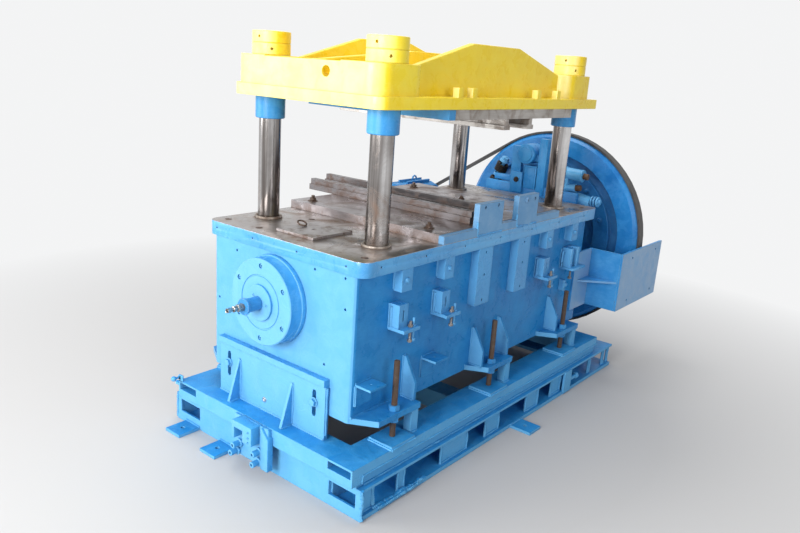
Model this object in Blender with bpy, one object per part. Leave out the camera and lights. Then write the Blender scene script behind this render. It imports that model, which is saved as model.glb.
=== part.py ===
"""A four-post underdrive crank press, at rest with its platen up.

Metres, +Z up. X runs along the crankshaft with the flywheel at +X, the long side that carries the
feed brackets faces -Y, and the origin is on the floor, midway between the four pillars.
"""

import math

import bmesh
import bpy
from mathutils import Vector

# Fits
GAP = 0.0003            # between pieces that rest on or in each other
RUNNING_GAP = 0.0006    # round a shaft or a pillar that moves in its bore
WELD = 0.004            # how deep a welded piece is sunk into the piece it is joined to
OVERRUN = 0.02          # how far a cutter runs past the wall it cuts

# The machine as a whole
PILLAR_PITCH_X = 1.5
PILLAR_PITCH_Y = 0.66
STROKE = 0.05

# Lower base frame
LOWER_FRONT_REACH = 0.068   # past the housing's front
LOWER_REAR_REACH = 0.295
BASE_MARGIN = 0.058     # from the line of the levelling studs to the base's side
LOWER_NEAR_STEP = 0.017     # past the upper frame's near side
LOWER_FAR_STEP = 0.07
LOWER_HEIGHT = 0.137
LOWER_BEAM_WIDTH = 0.18
LOWER_FOOT = 0.02       # thickness of the flange on the floor
LOWER_FLANGE = 0.012
LOWER_WEB = 0.012
PANEL_INSET = 0.02
PANEL_DEPTH = 0.008
END_OPENING_MARGIN = 0.03   # from the frame's side to the opening in its front
END_OPENING_WIDTH = 0.145
END_OPENING_RISE = 0.048
END_OPENING_HEIGHT = 0.062
CROSS_WIDTH = 0.12
CROSS_HEIGHT = 0.1
PANEL_SHARES = ((0.0, 0.039), (0.107, 0.125), (0.238, 0.326), (0.394, 0.446), (0.56, 0.614),
                (0.678, 0.725), (0.88, 0.888), (0.963, 0.972), (0.99, 1.0))
CLAMP_BLOCK_SHARE = 0.745
CLAMP_BLOCK_LENGTH = 0.04
CLAMP_BLOCK_PROUD = 0.006
CLAMP_BOLT_RADIUS = 0.012
CLAMP_BOLT_REACH = 0.085
CLAMP_HEAD_RADIUS = 0.02
CLAMP_HEAD_HEIGHT = 0.014

# Floor lugs of the lower frame
FLOOR_LUG_LENGTH = 0.115
FLOOR_LUG_WIDTH = 0.105
FLOOR_LUG_THICKNESS = 0.014
FLOOR_LUG_HOLE = 0.011
END_FLOOR_LUG_YS = (0.22, 0.482)
SIDE_FLOOR_LUG_X = 0.11

# Upper base frame
UPPER_FRONT_REACH = 0.108   # past the housing's front
UPPER_REAR_REACH = 0.085
UPPER_HEIGHT = 0.0957
UPPER_CHANNEL_DEPTH = 0.045
UPPER_BEAM_WIDTH = 0.14
UPPER_WEB = 0.009
STRIP_INSET = 0.012
STRIP_WIDTH = 0.1
FRONT_PLATE_HEIGHT = 0.075      # across the channels' front ends and below them
FRONT_CHEEK = 0.06
END_BOLT_RADIUS = 0.011
END_BOLT_REACH = 0.03

# Levelling stations, three on each long side
STATION_XS = (-0.8, -0.07, 0.665)
STUD_REACH = 0.071      # from the housing wall to the stud's axis
PAD_LENGTH = 0.15
PAD_WIDTH = 0.125
PAD_THICKNESS = 0.015
LEG_WIDTH = 0.045
LEG_DEPTH = 0.04
STUD_RADIUS = 0.0125
STUD_HEIGHT = 0.335
NUT_RADIUS = 0.0235
NUT_HEIGHT = 0.024
LUG_THICKNESS = 0.025
LUG_REACH = 0.1
LUG_TAPER = 0.06
GUSSET_THICKNESS = 0.014
GUSSET_RISE = 0.188
GUSSET_SHOULDER = 0.082
# Each station's lug ends and gussets, measured from its stud along the housing.
STATION_LUGS = (
    (-0.185, 0.142, (0.142,)),
    (-0.122, 0.157, (-0.07, 0.157)),
    (-0.17, 0.145, (-0.065,)),
)

# Housing
HOUSING_FRONT_MARGIN = 0.242    # from the front pillars' axes to the housing's front
HOUSING_REAR_MARGIN = 0.205
HOUSING_NEAR_CLEARANCE = 0.05   # between the near pillars and the inside of the near wall
HOUSING_FAR_CLEARANCE = 0.006
HOUSING_LIFT = 0.107    # clear height between base and housing
HOUSING_WALL = 0.02
HOUSING_CORNER = 0.018
HOUSING_HOLE = 0.006
HOUSING_HOLE_DEPTH = 0.012
CRANK_RISE = 0.41       # crankshaft axis above the housing's bottom
CRANK_HEADROOM = 0.198  # housing's top above that axis
BEARING_BORE = 0.1
# Tapped holes in the front wall: across from the pillars' centre plane, and up from the crank axis.
FRONT_HOLES = ((0.25, 0.156), (-0.229, 0.18), (-0.394, 0.181), (-0.4, 0.058), (0.37, -0.086), (-0.3, -0.2))
ANGLE_XS = (-0.92, -0.5)
ANGLE_LENGTH = 0.095
ANGLE_REACH = 0.082
ANGLE_THICKNESS = 0.009
ANGLE_RISE = 0.166      # angle bracket's top above the housing's bottom
ANGLE_DROP = 0.095
ANGLE_HOLE = 0.005

# Bed plate and what lies on it
BED_FRONT_OVERHANG = 0.008
BED_REAR_OVERHANG = 0.025
BED_OVERHANG = 0.043    # past each long side of the housing
BED_THICKNESS = 0.0617
BED_CORNER = 0.03
BOLSTER_FRONT = 0.505
BOLSTER_REAR = 0.515
BOLSTER_THICKNESS = 0.038
BOLSTER_BACK_MARGIN = 0.002
COVER_X = -0.788
COVER_Y = -0.012
COVER_LENGTH = 0.235
COVER_WIDTH = 0.222
COVER_THICKNESS = 0.012
COVER_HOLE = 0.011
COVER_RING_RADIUS = 0.02
COVER_RING_BAR = 0.004

# Die rails, on the bolster and under the upper die plate
RAIL_LENGTH = 1.04
RAIL_FOOT_WIDTH = 0.052
RAIL_FOOT_HEIGHT = 0.03
RAIL_TOP_WIDTH = 0.03
RAIL_TOP_HEIGHT = 0.027
LOWER_RAIL_XS = (-0.19, 0.0)
LOWER_RAIL_START_YS = (-0.42, -0.345)
UPPER_RAIL_XS = (0.02, 0.235)
UPPER_RAIL_START_Y = -0.42
UPPER_RAIL_WIDTH = 0.056
UPPER_RAIL_NECK = 0.026
UPPER_RAIL_HEIGHT = 0.05
UPPER_RAIL_LIP = 0.02

# Posts, lugs and brackets on the near side
POST_WIDTH = 0.114
POST_HEIGHT = 0.271
POST_XS = (-0.164, 0.181)
POST_HOLE = 0.006
POST_HOLE_DEPTH = 0.015
POST_HOLE_SHARES = (0.08, 0.47, 0.92)
SIDE_BAR_THICKNESS = 0.03
SIDE_BAR_HEIGHT = 0.036
# Each lug's middle along the bar, its width, its top above the bed, and its holes' axes below that top.
SIDE_LUGS = ((-0.152, 0.2, 0.146, 0.018), (0.1785, 0.187, 0.151, 0.024))
SIDE_LUG_HOLE = 0.0085
SIDE_LUG_HOLE_SHARES = ((0.24, 0.78), (0.38, 0.83))
BRACKET_XS = (-0.735, -0.447, 0.447, 0.733)
UPPER_BRACKET_WIDTH = 0.066
UPPER_BRACKET_HEIGHT = 0.094
UPPER_BRACKET_HOLE = 0.0065
LOWER_BRACKET_WIDTH = 0.056
LOWER_BRACKET_DEPTH = 0.052
LOWER_BRACKET_HEIGHT = 0.112
LOWER_BRACKET_TOP = 0.143   # below the bed plate's underside
LOWER_BRACKET_SLOT = 0.008
LOWER_BRACKET_SLOT_LENGTH = 0.05
LOWER_BRACKET_SLOT_DEPTH = 0.02
FOOT_WIDTH = 0.1
FOOT_REACH = 0.086
FOOT_THICKNESS = 0.014
SCREW_RADIUS = 0.006
SCREW_HEIGHT = 0.1
SCREW_HEAD_RADIUS = 0.011
SCREW_HEAD_HEIGHT = 0.012
SCREW_EDGE = 0.02

# Front support plate
SUPPORT_HALF_WIDTH = 0.335
SUPPORT_HEIGHT = 0.24
SUPPORT_THICKNESS = 0.02
SUPPORT_LEDGE_RISE = 0.028
SUPPORT_LEDGE_DEPTH = 0.03
SUPPORT_GUSSET_YS = (0.2, -0.14)
SUPPORT_GUSSET_THICKNESS = 0.014
SUPPORT_GUSSET_RISE = 0.19
SUPPORT_GUSSET_REACH = 0.062
SUPPORT_SLOT_MARGIN = 0.063     # from the plate's side to the slot's middle
SUPPORT_SLOT_WIDTH = 0.022
SUPPORT_SLOT_LENGTH = 0.12
SUPPORT_SLOT_DROP = 0.035

# Clamp bracket at the middle of the base's front
CLAMP_NEAR = 0.12
CLAMP_FAR = 0.1
CLAMP_HEIGHT = 0.185
CLAMP_PLATE = 0.018
CLAMP_DROP = 0.003      # its top below the upper frame's top
CLAMP_CHEEK_YS = (-0.13, -0.085)
CLAMP_CHEEK = 0.03
CLAMP_CHAMFER = 0.042
CLAMP_BLOCK_YS = (-0.066, 0.06)
CLAMP_SLOT_YS = (-0.008, 0.045)     # the gap in the block, open below
CLAMP_BLOCK_REACH = 0.065
CLAMP_BLOCK_HEIGHT = 0.078
CLAMP_BRIDGE = 0.03     # what is left of the block over that gap
CLAMP_WASHER_RADIUS = 0.02
CLAMP_WASHER = 0.01
CLAMP_SCREW_RADIUS = 0.0135
CLAMP_SCREW_HEIGHT = 0.044
# Its screws: across from the pillars' centre plane, and up from the bracket's bottom.
CLAMP_SCREWS = ((-0.068, 0.07), (-0.066, 0.022), (0.075, 0.021), (0.06, 0.063))

# Pillars, their bushings and collars
PILLAR_RADIUS = 0.049
BUSHING_RADIUS = 0.054
BUSHING_FLANGE_RADIUS = 0.062
BUSHING_FLANGE_HEIGHT = 0.01
BUSHING_TAIL = 0.045
COLLAR_RADIUS = 0.065
COLLAR_HEIGHT = 0.1
COLLAR_BEVEL = 0.004
TAIL_RADIUS = 0.033     # the pillar's lower end, in the crosshead
TAIL_LENGTH = 0.012     # below the crosshead
SPINDLE_RADIUS = 0.043  # the pillar's upper end, in the platen and its nuts
SPINDLE_TOP_INSET = 0.006

# Upper platen
OPEN_HEIGHT = 0.549     # bed to platen with the press open
PLATEN_FRONT_MARGIN = 0.145     # from the pillars' axes to the platen's edges
PLATEN_REAR_MARGIN = 0.165
PLATEN_NEAR_MARGIN = 0.105
PLATEN_FAR_MARGIN = 0.09
PLATEN_PLATE = 0.0488
PLATEN_CORNER = 0.055
PLATEN_REAR_CORNER = 0.012
BOSS_HEIGHT = 0.119
BOSS_END = 0.138        # from a pillar's axis to its boss's end
BOSS_INNER_END = 0.155
BOSS_SIDE = 0.085
BOSS_INNER_SIDE = 0.115
BOSS_CORNER = 0.08
END_WALL = 0.045
END_WALL_HOLE = 0.022
END_WALL_HOLE_Y = -0.143
END_WALL_HOLE_DROP = 0.045
RIB_THICKNESS = 0.035
RIB_PEAK = 0.105        # above the bosses
RIB_FLAT_HALF = 0.19
MIDDLE_RIB_PEAK = 0.06
PLATE_LUG_WIDTH = 0.06
PLATE_LUG_DEPTH = 0.045
PLATE_LUG_HEIGHT = 0.045
PLATE_LUG_XS = (-0.385, -0.282, 0.272, 0.47)
NUT_PAIR_RADIUS = 0.0825
NUT_PAIR_HEIGHT = 0.098
NUT_SEAM = 0.003
NUT_HOLE = 0.006
NUT_HOLE_DEPTH = 0.02
NUT_HOLE_SHARES = (0.25, 0.75)
NUT_HOLE_TURNS = (math.radians(-70), math.radians(-110))

# Upper die plate and spacer
DIE_PLATE_THICKNESS = 0.044
DIE_PLATE_FRONT = 0.4
DIE_PLATE_REAR = 0.645
DIE_PLATE_MARGIN = 0.012
SPACER_LENGTH = 0.045

# Lower crosshead, rods and crankshaft
CROSSHEAD_END = 0.12    # past the pillars' axes
CROSSHEAD_NEAR_CLEARANCE = 0.024    # inside the housing's wall
CROSSHEAD_FAR_CLEARANCE = 0.008
CROSSHEAD_THICKNESS = 0.08
CROSSHEAD_CORNER = 0.04
CROSSHEAD_LIFT = 0.08   # above the housing's bottom, with the press open
EAR_THICKNESS = 0.035
EAR_HALF_WIDTH = 0.06
ROD_SPREAD = 0.35       # from the middle to each rod
ROD_THICKNESS = 0.09
ROD_EYE_SLACK = 0.006
ROD_EYE_RISE_SHARE = 0.25   # of the crank's throw, added to the eye's half height
ROD_STRAP = 0.032
ROD_SHANK_HALF_WIDTH = 0.04
WRIST_RADIUS = 0.03
WRIST_RISE = 0.055      # wrist pin's axis above the crosshead
WRIST_EYE = 0.05
SHAFT_RADIUS = 0.055
SHEAVE_RADIUS = 0.085
SHEAVE_WIDTH = 0.1
SHAFT_END = 0.035       # past the flywheel's hub
NOSE_RADIUS = 0.029
NOSE_SEAT = 0.053       # from the housing's front to the shoulder of the nose
NOSE_REACH = 0.168      # from the housing's front to the nose's end
NOSE_RING_RADIUS = 0.035
NOSE_RING = 0.012
FITTING_RADIUS = 0.016
FITTING_LENGTH = 0.08
FITTING_NECK = 0.01
FITTING_HEX_LENGTH = 0.028

# Front bearing cover
COVER_PLATE_RADIUS = 0.19
COVER_PLATE_THICKNESS = 0.02
HUB_RADIUS = 0.184
HUB_DEPTH = 0.08
HUB_GROOVE_RADIUS = 0.114
HUB_GROOVE = 0.005
CAP_RADIUS = 0.077
CAP_HEIGHT = 0.012
HUB_BOLT_RADIUS = 0.009
HUB_BOLT_CIRCLE = 0.155
HUB_BOLT_COUNT = 6
HUB_BOLT_DEPTH = 0.01

# Rear bearing housing and brake
REAR_FLANGE_RADIUS = 0.17
REAR_FLANGE_THICKNESS = 0.025
REAR_HUB_RADIUS = 0.12
REAR_HUB_DEPTH = 0.1
BRACE_CLEARANCE = 0.045     # behind the rear bearing housing
BRACE_THICKNESS = 0.025
BRACE_NEAR = 0.3
BRACE_FAR = 0.34
BRACE_BOTTOM = 0.105    # above the crank axis
BRACE_TOP = 0.3
BRACE_POST_Y = -0.045
BRACE_POST_HALF_WIDTH = 0.035
BRACE_POST_TOP = 0.6
SLIM_POST_Y = 0.125
SLIM_POST_HALF_WIDTH = 0.033
SLIM_POST_TOP = 0.53
BRACE_BOSS_Y = 0.046
BRACE_BOSS_RISE = 0.5
BRACE_BOSS_RADIUS = 0.062
BRACE_BOSS_DEPTH = 0.09
BRACE_BOX_TOP = 0.4
BRACE_BOX_DEPTH = 0.06
BRACE_BEAM_HEIGHT = 0.035
BRACE_ARM_HEIGHT = 0.07
BRACE_ARM_THICKNESS = 0.04
STACK_Y = 0.285
STACK_RISE = 0.318
STACK_TILT = math.radians(27)
STACK_ROD_RADIUS = 0.013
STACK_LENGTH = 0.26
SPRING_RADIUS = 0.05
SPRING_LENGTH = 0.055
SPRING_COILS = 2
SPRING_GROOVE = 0.008
COLLAR_SHARE = 0.62     # of the spring's radius
SPRING_SHARES = (-0.24, 0.24)   # places along the stack
CYLINDER_RADIUS = 0.032
CYLINDER_LENGTH = 0.12
CYLINDER_CAP_RADIUS = 0.0185
CYLINDER_CAP_LENGTH = 0.03
CYLINDER_PLACES = ((-0.225, 0.385), (-0.212, 0.308))
CYLINDER_TILT = math.radians(15)

# Clutch drum, on the crankshaft
DRUM_RADIUS = 0.24
DRUM_CLEARANCE = 0.065      # behind the brake's plate
DRUM_WIDTH = 0.105
DRUM_HUB_RADIUS = 0.1

# Flywheel
WHEEL_CLEARANCE = 0.04      # behind the clutch drum
WHEEL_RADIUS = 0.614
WHEEL_WIDTH = 0.078
WHEEL_BEVEL = 0.024
RIM_DEPTH = 0.1
RIM_LEDGE_STEP = 0.03
CLUTCH_RING_INNER = 0.335
CLUTCH_RING_OUTER = 0.435
CLUTCH_RING_PROUD = 0.035
WHEEL_WEB = 0.03
WHEEL_WEB_STEP = 0.034
WHEEL_HUB_RADIUS = 0.13
WHEEL_HUB_END = 0.1

# Motor, belt and their carrier
MOTOR_SPREAD = 0.276        # between the wheel's rim and the motor pulley's
MOTOR_END_CLEARANCE = 0.024     # between the motor's end and its pulley
MOTOR_LENGTH = 0.32
MOTOR_RADIUS = 0.175
MOTOR_FIN_HEIGHT = 0.02
MOTOR_FIN_WIDTH = 0.012
MOTOR_FIN_COUNT = 16
MOTOR_FIN_END = 0.035
MOTOR_COWL_RADIUS = 0.18
MOTOR_COWL_LENGTH = 0.06
MOTOR_BOX = 0.11
MOTOR_BOX_HEIGHT = 0.06
MOTOR_FOOT_HEIGHT = 0.2     # motor axis above its feet
MOTOR_FOOT_WIDTH = 0.05
MOTOR_FOOT_HALF_SPAN = 0.15
MOTOR_FOOT_THICKNESS = 0.02
MOTOR_EYE_RADIUS = 0.022
MOTOR_EYE_BAR = 0.006
PULLEY_RADIUS = 0.09
PULLEY_RIM = 0.006
PULLEY_SHAFT_RADIUS = 0.024
PULLEY_SHAFT_BACK = 0.05
BELT_WIDTH = 0.06
BELT_THICKNESS = 0.012
MOTOR_PLATE_THICKNESS = 0.03
MOTOR_PLATE_HALF_WIDTH = 0.2
MOTOR_ARM_WIDTH = 0.06
MOTOR_ARM_DEPTH = 0.09
MOTOR_ARM_BACK = 0.14

# Box bracket at the rear of the near side
BOX_TOP = 0.005         # above the crank axis
BOX_HEIGHT = 0.345
BOX_PLATE = 0.012
BOX_FOOT = 0.095            # along the housing's wall
BOX_CORNER_REACH = 0.1      # past the housing's rear
BOX_CLEARANCE = 0.019       # outside the belt
BOX_OUTER_LENGTH = 0.605
BOX_GUSSET_DROP = 0.18
BOX_GUSSET_REACH = 0.15
BOX_HOLE = 0.008
BOX_HOLE_ALONG_SHARES = (0.25, 0.85)
BOX_HOLE_UP_SHARES = (0.12, 0.88)

# How finely round pieces are faceted
FINE_SIDES = 40
ROUND_SIDES = 18
SMALL_SIDES = 8
TINY_SIDES = 6
CORNER_STEPS = 3
SMOOTH_ANGLE = math.radians(35)

# Levels and planes that follow from the sizes
UPPER_BOTTOM = LOWER_HEIGHT + GAP
UPPER_TOP = UPPER_BOTTOM + UPPER_HEIGHT
HOUSING_BOTTOM = UPPER_TOP + HOUSING_LIFT
HOUSING_TOP = HOUSING_BOTTOM + CRANK_RISE + CRANK_HEADROOM
CRANK_Z = HOUSING_BOTTOM + CRANK_RISE
BED_BOTTOM = HOUSING_TOP + GAP
BED_TOP = BED_BOTTOM + BED_THICKNESS
BOLSTER_TOP = BED_TOP + GAP + BOLSTER_THICKNESS
PLATEN_BOTTOM = BED_TOP + OPEN_HEIGHT
PLATEN_TOP = PLATEN_BOTTOM + PLATEN_PLATE
BOSS_TOP = PLATEN_TOP + BOSS_HEIGHT
NUT_BOTTOM = BOSS_TOP + GAP
NUT_TOP = NUT_BOTTOM + NUT_PAIR_HEIGHT
DIE_PLATE_TOP = PLATEN_BOTTOM - GAP
DIE_PLATE_BOTTOM = DIE_PLATE_TOP - DIE_PLATE_THICKNESS
CROSSHEAD_BOTTOM = HOUSING_BOTTOM + CROSSHEAD_LIFT
CROSSHEAD_TOP = CROSSHEAD_BOTTOM + CROSSHEAD_THICKNESS
WRIST_Z = CROSSHEAD_TOP + WRIST_RISE
CRANK_THROW = STROKE / 2
PILLAR_XS = (-PILLAR_PITCH_X / 2, PILLAR_PITCH_X / 2)
PILLAR_YS = (-PILLAR_PITCH_Y / 2, PILLAR_PITCH_Y / 2)
ROD_XS = (-ROD_SPREAD, ROD_SPREAD)
NEAR_WALL = PILLAR_YS[0] - PILLAR_RADIUS - HOUSING_NEAR_CLEARANCE - HOUSING_WALL
FAR_WALL = PILLAR_YS[1] + PILLAR_RADIUS + HOUSING_FAR_CLEARANCE + HOUSING_WALL
BODY_SHIFT_Y = (NEAR_WALL + FAR_WALL) / 2
HOUSING_HALF_WIDTH = (FAR_WALL - NEAR_WALL) / 2
BED_HALF_WIDTH = HOUSING_HALF_WIDTH + BED_OVERHANG
BASE_HALF_WIDTH = HOUSING_HALF_WIDTH + STUD_REACH + BASE_MARGIN
NEAR_EDGE = BODY_SHIFT_Y - BED_HALF_WIDTH
FAR_EDGE = BODY_SHIFT_Y + BED_HALF_WIDTH
HOUSING_FRONT = PILLAR_PITCH_X / 2 + HOUSING_FRONT_MARGIN
HOUSING_REAR = PILLAR_PITCH_X / 2 + HOUSING_REAR_MARGIN
BED_FRONT = HOUSING_FRONT + BED_FRONT_OVERHANG
BED_REAR = HOUSING_REAR + BED_REAR_OVERHANG
LOWER_FRONT = HOUSING_FRONT + LOWER_FRONT_REACH
LOWER_REAR = HOUSING_REAR + LOWER_REAR_REACH
UPPER_FRONT = HOUSING_FRONT + UPPER_FRONT_REACH
UPPER_REAR = HOUSING_REAR + UPPER_REAR_REACH
PLATEN_FRONT = PILLAR_PITCH_X / 2 + PLATEN_FRONT_MARGIN
PLATEN_REAR = PILLAR_PITCH_X / 2 + PLATEN_REAR_MARGIN
PLATEN_NEAR = PILLAR_PITCH_Y / 2 + PLATEN_NEAR_MARGIN
PLATEN_FAR = PILLAR_PITCH_Y / 2 + PLATEN_FAR_MARGIN
CROSSHEAD_HALF_LENGTH = PILLAR_PITCH_X / 2 + CROSSHEAD_END
CROSSHEAD_NEAR = -NEAR_WALL - HOUSING_WALL - CROSSHEAD_NEAR_CLEARANCE
CROSSHEAD_FAR = FAR_WALL - HOUSING_WALL - CROSSHEAD_FAR_CLEARANCE
NOSE_START = HOUSING_FRONT + NOSE_SEAT
SHAFT_FRONT = HOUSING_FRONT + NOSE_REACH
BRACE_X = HOUSING_REAR + REAR_HUB_DEPTH + BRACE_CLEARANCE
DRUM_START = BRACE_X + BRACE_THICKNESS + DRUM_CLEARANCE
DRUM_END = DRUM_START + DRUM_WIDTH
WHEEL_X = DRUM_END + WHEEL_CLEARANCE
SHAFT_REAR = WHEEL_X + WHEEL_HUB_END + SHAFT_END
BELT_MIDDLE = WHEEL_X + WHEEL_BEVEL / 2 + (WHEEL_WIDTH - WHEEL_BEVEL / 2) / 2
MOTOR_Y = WHEEL_RADIUS + PULLEY_RADIUS + MOTOR_SPREAD
MOTOR_START = BELT_MIDDLE - BELT_WIDTH / 2 - PULLEY_RIM - MOTOR_END_CLEARANCE - MOTOR_LENGTH
BOX_CORNER_X = HOUSING_REAR + BOX_CORNER_REACH
BOX_INNER_START = HOUSING_REAR - BOX_FOOT
BOX_OUTER_END = BOX_CORNER_X + BOX_OUTER_LENGTH
BOX_OUTER_Y = -(WHEEL_RADIUS + BELT_THICKNESS + BOX_CLEARANCE)
BASE_NEAR = BODY_SHIFT_Y - BASE_HALF_WIDTH
BASE_FAR = BODY_SHIFT_Y + BASE_HALF_WIDTH
LOWER_NEAR = BASE_NEAR - LOWER_NEAR_STEP
LOWER_FAR = BASE_FAR + LOWER_FAR_STEP

# Each finish's colour, roughness and metallic value
BLUE_PAINT = ((0.075, 0.36, 0.68), 0.45, 0.0)
YELLOW_PAINT = ((0.93, 0.72, 0.03), 0.4, 0.0)
POLISHED_STEEL = ((0.62, 0.6, 0.57), 0.22, 1.0)
WORN_STEEL = ((0.3, 0.26, 0.23), 0.5, 0.8)
RUSTY_STEEL = ((0.22, 0.13, 0.09), 0.7, 0.6)
CAST_IRON = ((0.16, 0.16, 0.17), 0.6, 0.7)
RUBBER = ((0.02, 0.02, 0.02), 0.75, 0.0)
BRIGHT_METAL = ((0.75, 0.75, 0.74), 0.18, 1.0)
AXES = {"X": (0, 1, 2), "Y": (1, 2, 0), "Z": (2, 0, 1)}


def clear_scene():
    for old in list(bpy.data.objects):
        bpy.data.objects.remove(old, do_unlink=True)


def material(name, colour, roughness, metallic):
    """A piece's own plain material."""
    made = bpy.data.materials.new(name)
    made.use_nodes = True
    shader = made.node_tree.nodes["Principled BSDF"]
    shader.inputs["Base Color"].default_value = (*colour, 1)
    shader.inputs["Roughness"].default_value = roughness
    shader.inputs["Metallic"].default_value = metallic
    return made


def shape(bm):
    """A working object from a bmesh, with its faces turned outwards."""
    bmesh.ops.recalc_face_normals(bm, faces=bm.faces)
    mesh = bpy.data.meshes.new("shape")
    bm.to_mesh(mesh)
    bm.free()
    made = bpy.data.objects.new("shape", mesh)
    bpy.context.scene.collection.objects.link(made)
    return made


def point(axis, along, first, second):
    """A point from its place along an axis and its two places across it."""
    place = [0.0, 0.0, 0.0]
    for index, value in zip(AXES[axis], (along, first, second)):
        place[index] = value
    return Vector(place)


def slab(axis, outline, span):
    """A flat outline, in the two directions across an axis, pushed from one end of a span to the other."""
    bm = bmesh.new()
    rings = [[bm.verts.new(point(axis, along, *spot)) for spot in outline] for along in span]
    bm.faces.new(rings[0])
    bm.faces.new(rings[1])
    for i in range(len(outline)):
        j = (i + 1) % len(outline)
        bm.faces.new((rings[0][i], rings[0][j], rings[1][j], rings[1][i]))
    return shape(bm)


def block(xs, ys, zs):
    return slab("Z", [(xs[0], ys[0]), (xs[1], ys[0]), (xs[1], ys[1]), (xs[0], ys[1])], zs)


def circle(centre, radius, sides, start=0.0):
    turns = [start + math.tau * i / sides for i in range(sides)]
    return [(centre[0] + radius * math.cos(t), centre[1] + radius * math.sin(t)) for t in turns]


def rod(axis, centre, radius, span, sides=ROUND_SIDES):
    return slab(axis, circle(centre, radius, sides), span)


def oval(centre, half_width, half_height, sides=ROUND_SIDES):
    turns = [math.tau * i / sides for i in range(sides)]
    return [(centre[0] + half_width * math.cos(t), centre[1] + half_height * math.sin(t)) for t in turns]


def rounded(xs, ys, radius, rear_radius=None):
    """A rectangle's outline with round corners, which may differ at its rear end."""
    corners = ((xs[1], ys[1], 1, 1), (xs[0], ys[1], -1, 1), (xs[0], ys[0], -1, -1), (xs[1], ys[0], 1, -1))
    front_radius, outline = radius, []
    for quarter, (x, y, to_x, to_y) in enumerate(corners):
        radius = rear_radius if rear_radius and to_x > 0 else front_radius
        for step in range(CORNER_STEPS + 1):
            turn = math.pi / 2 * (quarter + step / CORNER_STEPS)
            outline.append((x - to_x * radius + radius * math.cos(turn),
                            y - to_y * radius + radius * math.sin(turn)))
    return outline


def slot(centre, width, length):
    """An upright slot's outline with round ends."""
    half, reach = width / 2, (length - width) / 2
    outline = []
    for middle, start in ((centre[1] + reach, 0.0), (centre[1] - reach, math.pi)):
        for step in range(CORNER_STEPS + 1):
            turn = start + math.pi * step / CORNER_STEPS
            outline.append((centre[0] + half * math.cos(turn), middle + half * math.sin(turn)))
    return outline


def turned(axis, centre, profile, sides=ROUND_SIDES, hollow=False):
    """A turned piece from (radius, along) points: a solid bar, or a ring when its profile is a closed loop."""
    bm = bmesh.new()
    rings = []
    for radius, along in profile:
        rings.append([bm.verts.new(point(axis, along, *spot)) for spot in circle(centre, radius, sides)])
    pairs = list(zip(rings, rings[1:]))
    if hollow:
        pairs.append((rings[-1], rings[0]))
    else:
        bm.faces.new(rings[0])
        bm.faces.new(rings[-1])
    for lower, upper in pairs:
        for i in range(sides):
            j = (i + 1) % sides
            bm.faces.new((lower[i], lower[j], upper[j], upper[i]))
    return shape(bm)


def ring_bar(axis, centre, along, radius, bar, sides=SMALL_SIDES):
    """A round bar bent into a ring."""
    turns = [math.tau * i / TINY_SIDES for i in range(TINY_SIDES)]
    profile = [(radius + bar * math.cos(t), along + bar * math.sin(t)) for t in turns]
    return turned(axis, centre, profile, sides, hollow=True)


def group_of(name, members):
    made = bpy.data.collections.new(name)
    bpy.context.scene.collection.children.link(made)
    for member in members:
        bpy.context.scene.collection.objects.unlink(member)
        made.objects.link(member)
        member.hide_render = True
    return made


def build(name, finish, solids, cuts=()):
    """One piece: its solids joined, its cutters taken away, named and given its finish."""
    piece = solids[0]
    used = []
    for operation, members in (("UNION", solids[1:]), ("DIFFERENCE", list(cuts))):
        if not members:
            continue
        used.append(group_of(operation, members))
        tool = piece.modifiers.new(operation, "BOOLEAN")
        tool.operation = operation
        tool.operand_type = "COLLECTION"
        tool.collection = used[-1]
        tool.solver = "EXACT"
    bpy.context.view_layer.update()
    mesh = bpy.data.meshes.new_from_object(piece.evaluated_get(bpy.context.evaluated_depsgraph_get()))
    piece.modifiers.clear()
    piece.data = mesh
    for group in used:
        for member in list(group.objects):
            bpy.data.objects.remove(member, do_unlink=True)
        bpy.data.collections.remove(group)
    piece.name = mesh.name = name
    mesh.materials.clear()
    mesh.materials.append(material(name, *finish))
    mesh.shade_smooth()
    mesh.set_sharp_from_angle(angle=SMOOTH_ANGLE)
    return piece


def sides_of_body(half_width):
    """Both long sides of the body: the wall's place, and the way that leads outwards from it."""
    return ((BODY_SHIFT_Y - half_width, -1), (BODY_SHIFT_Y + half_width, 1))


def ordered(first, second):
    return (min(first, second), max(first, second))


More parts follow.
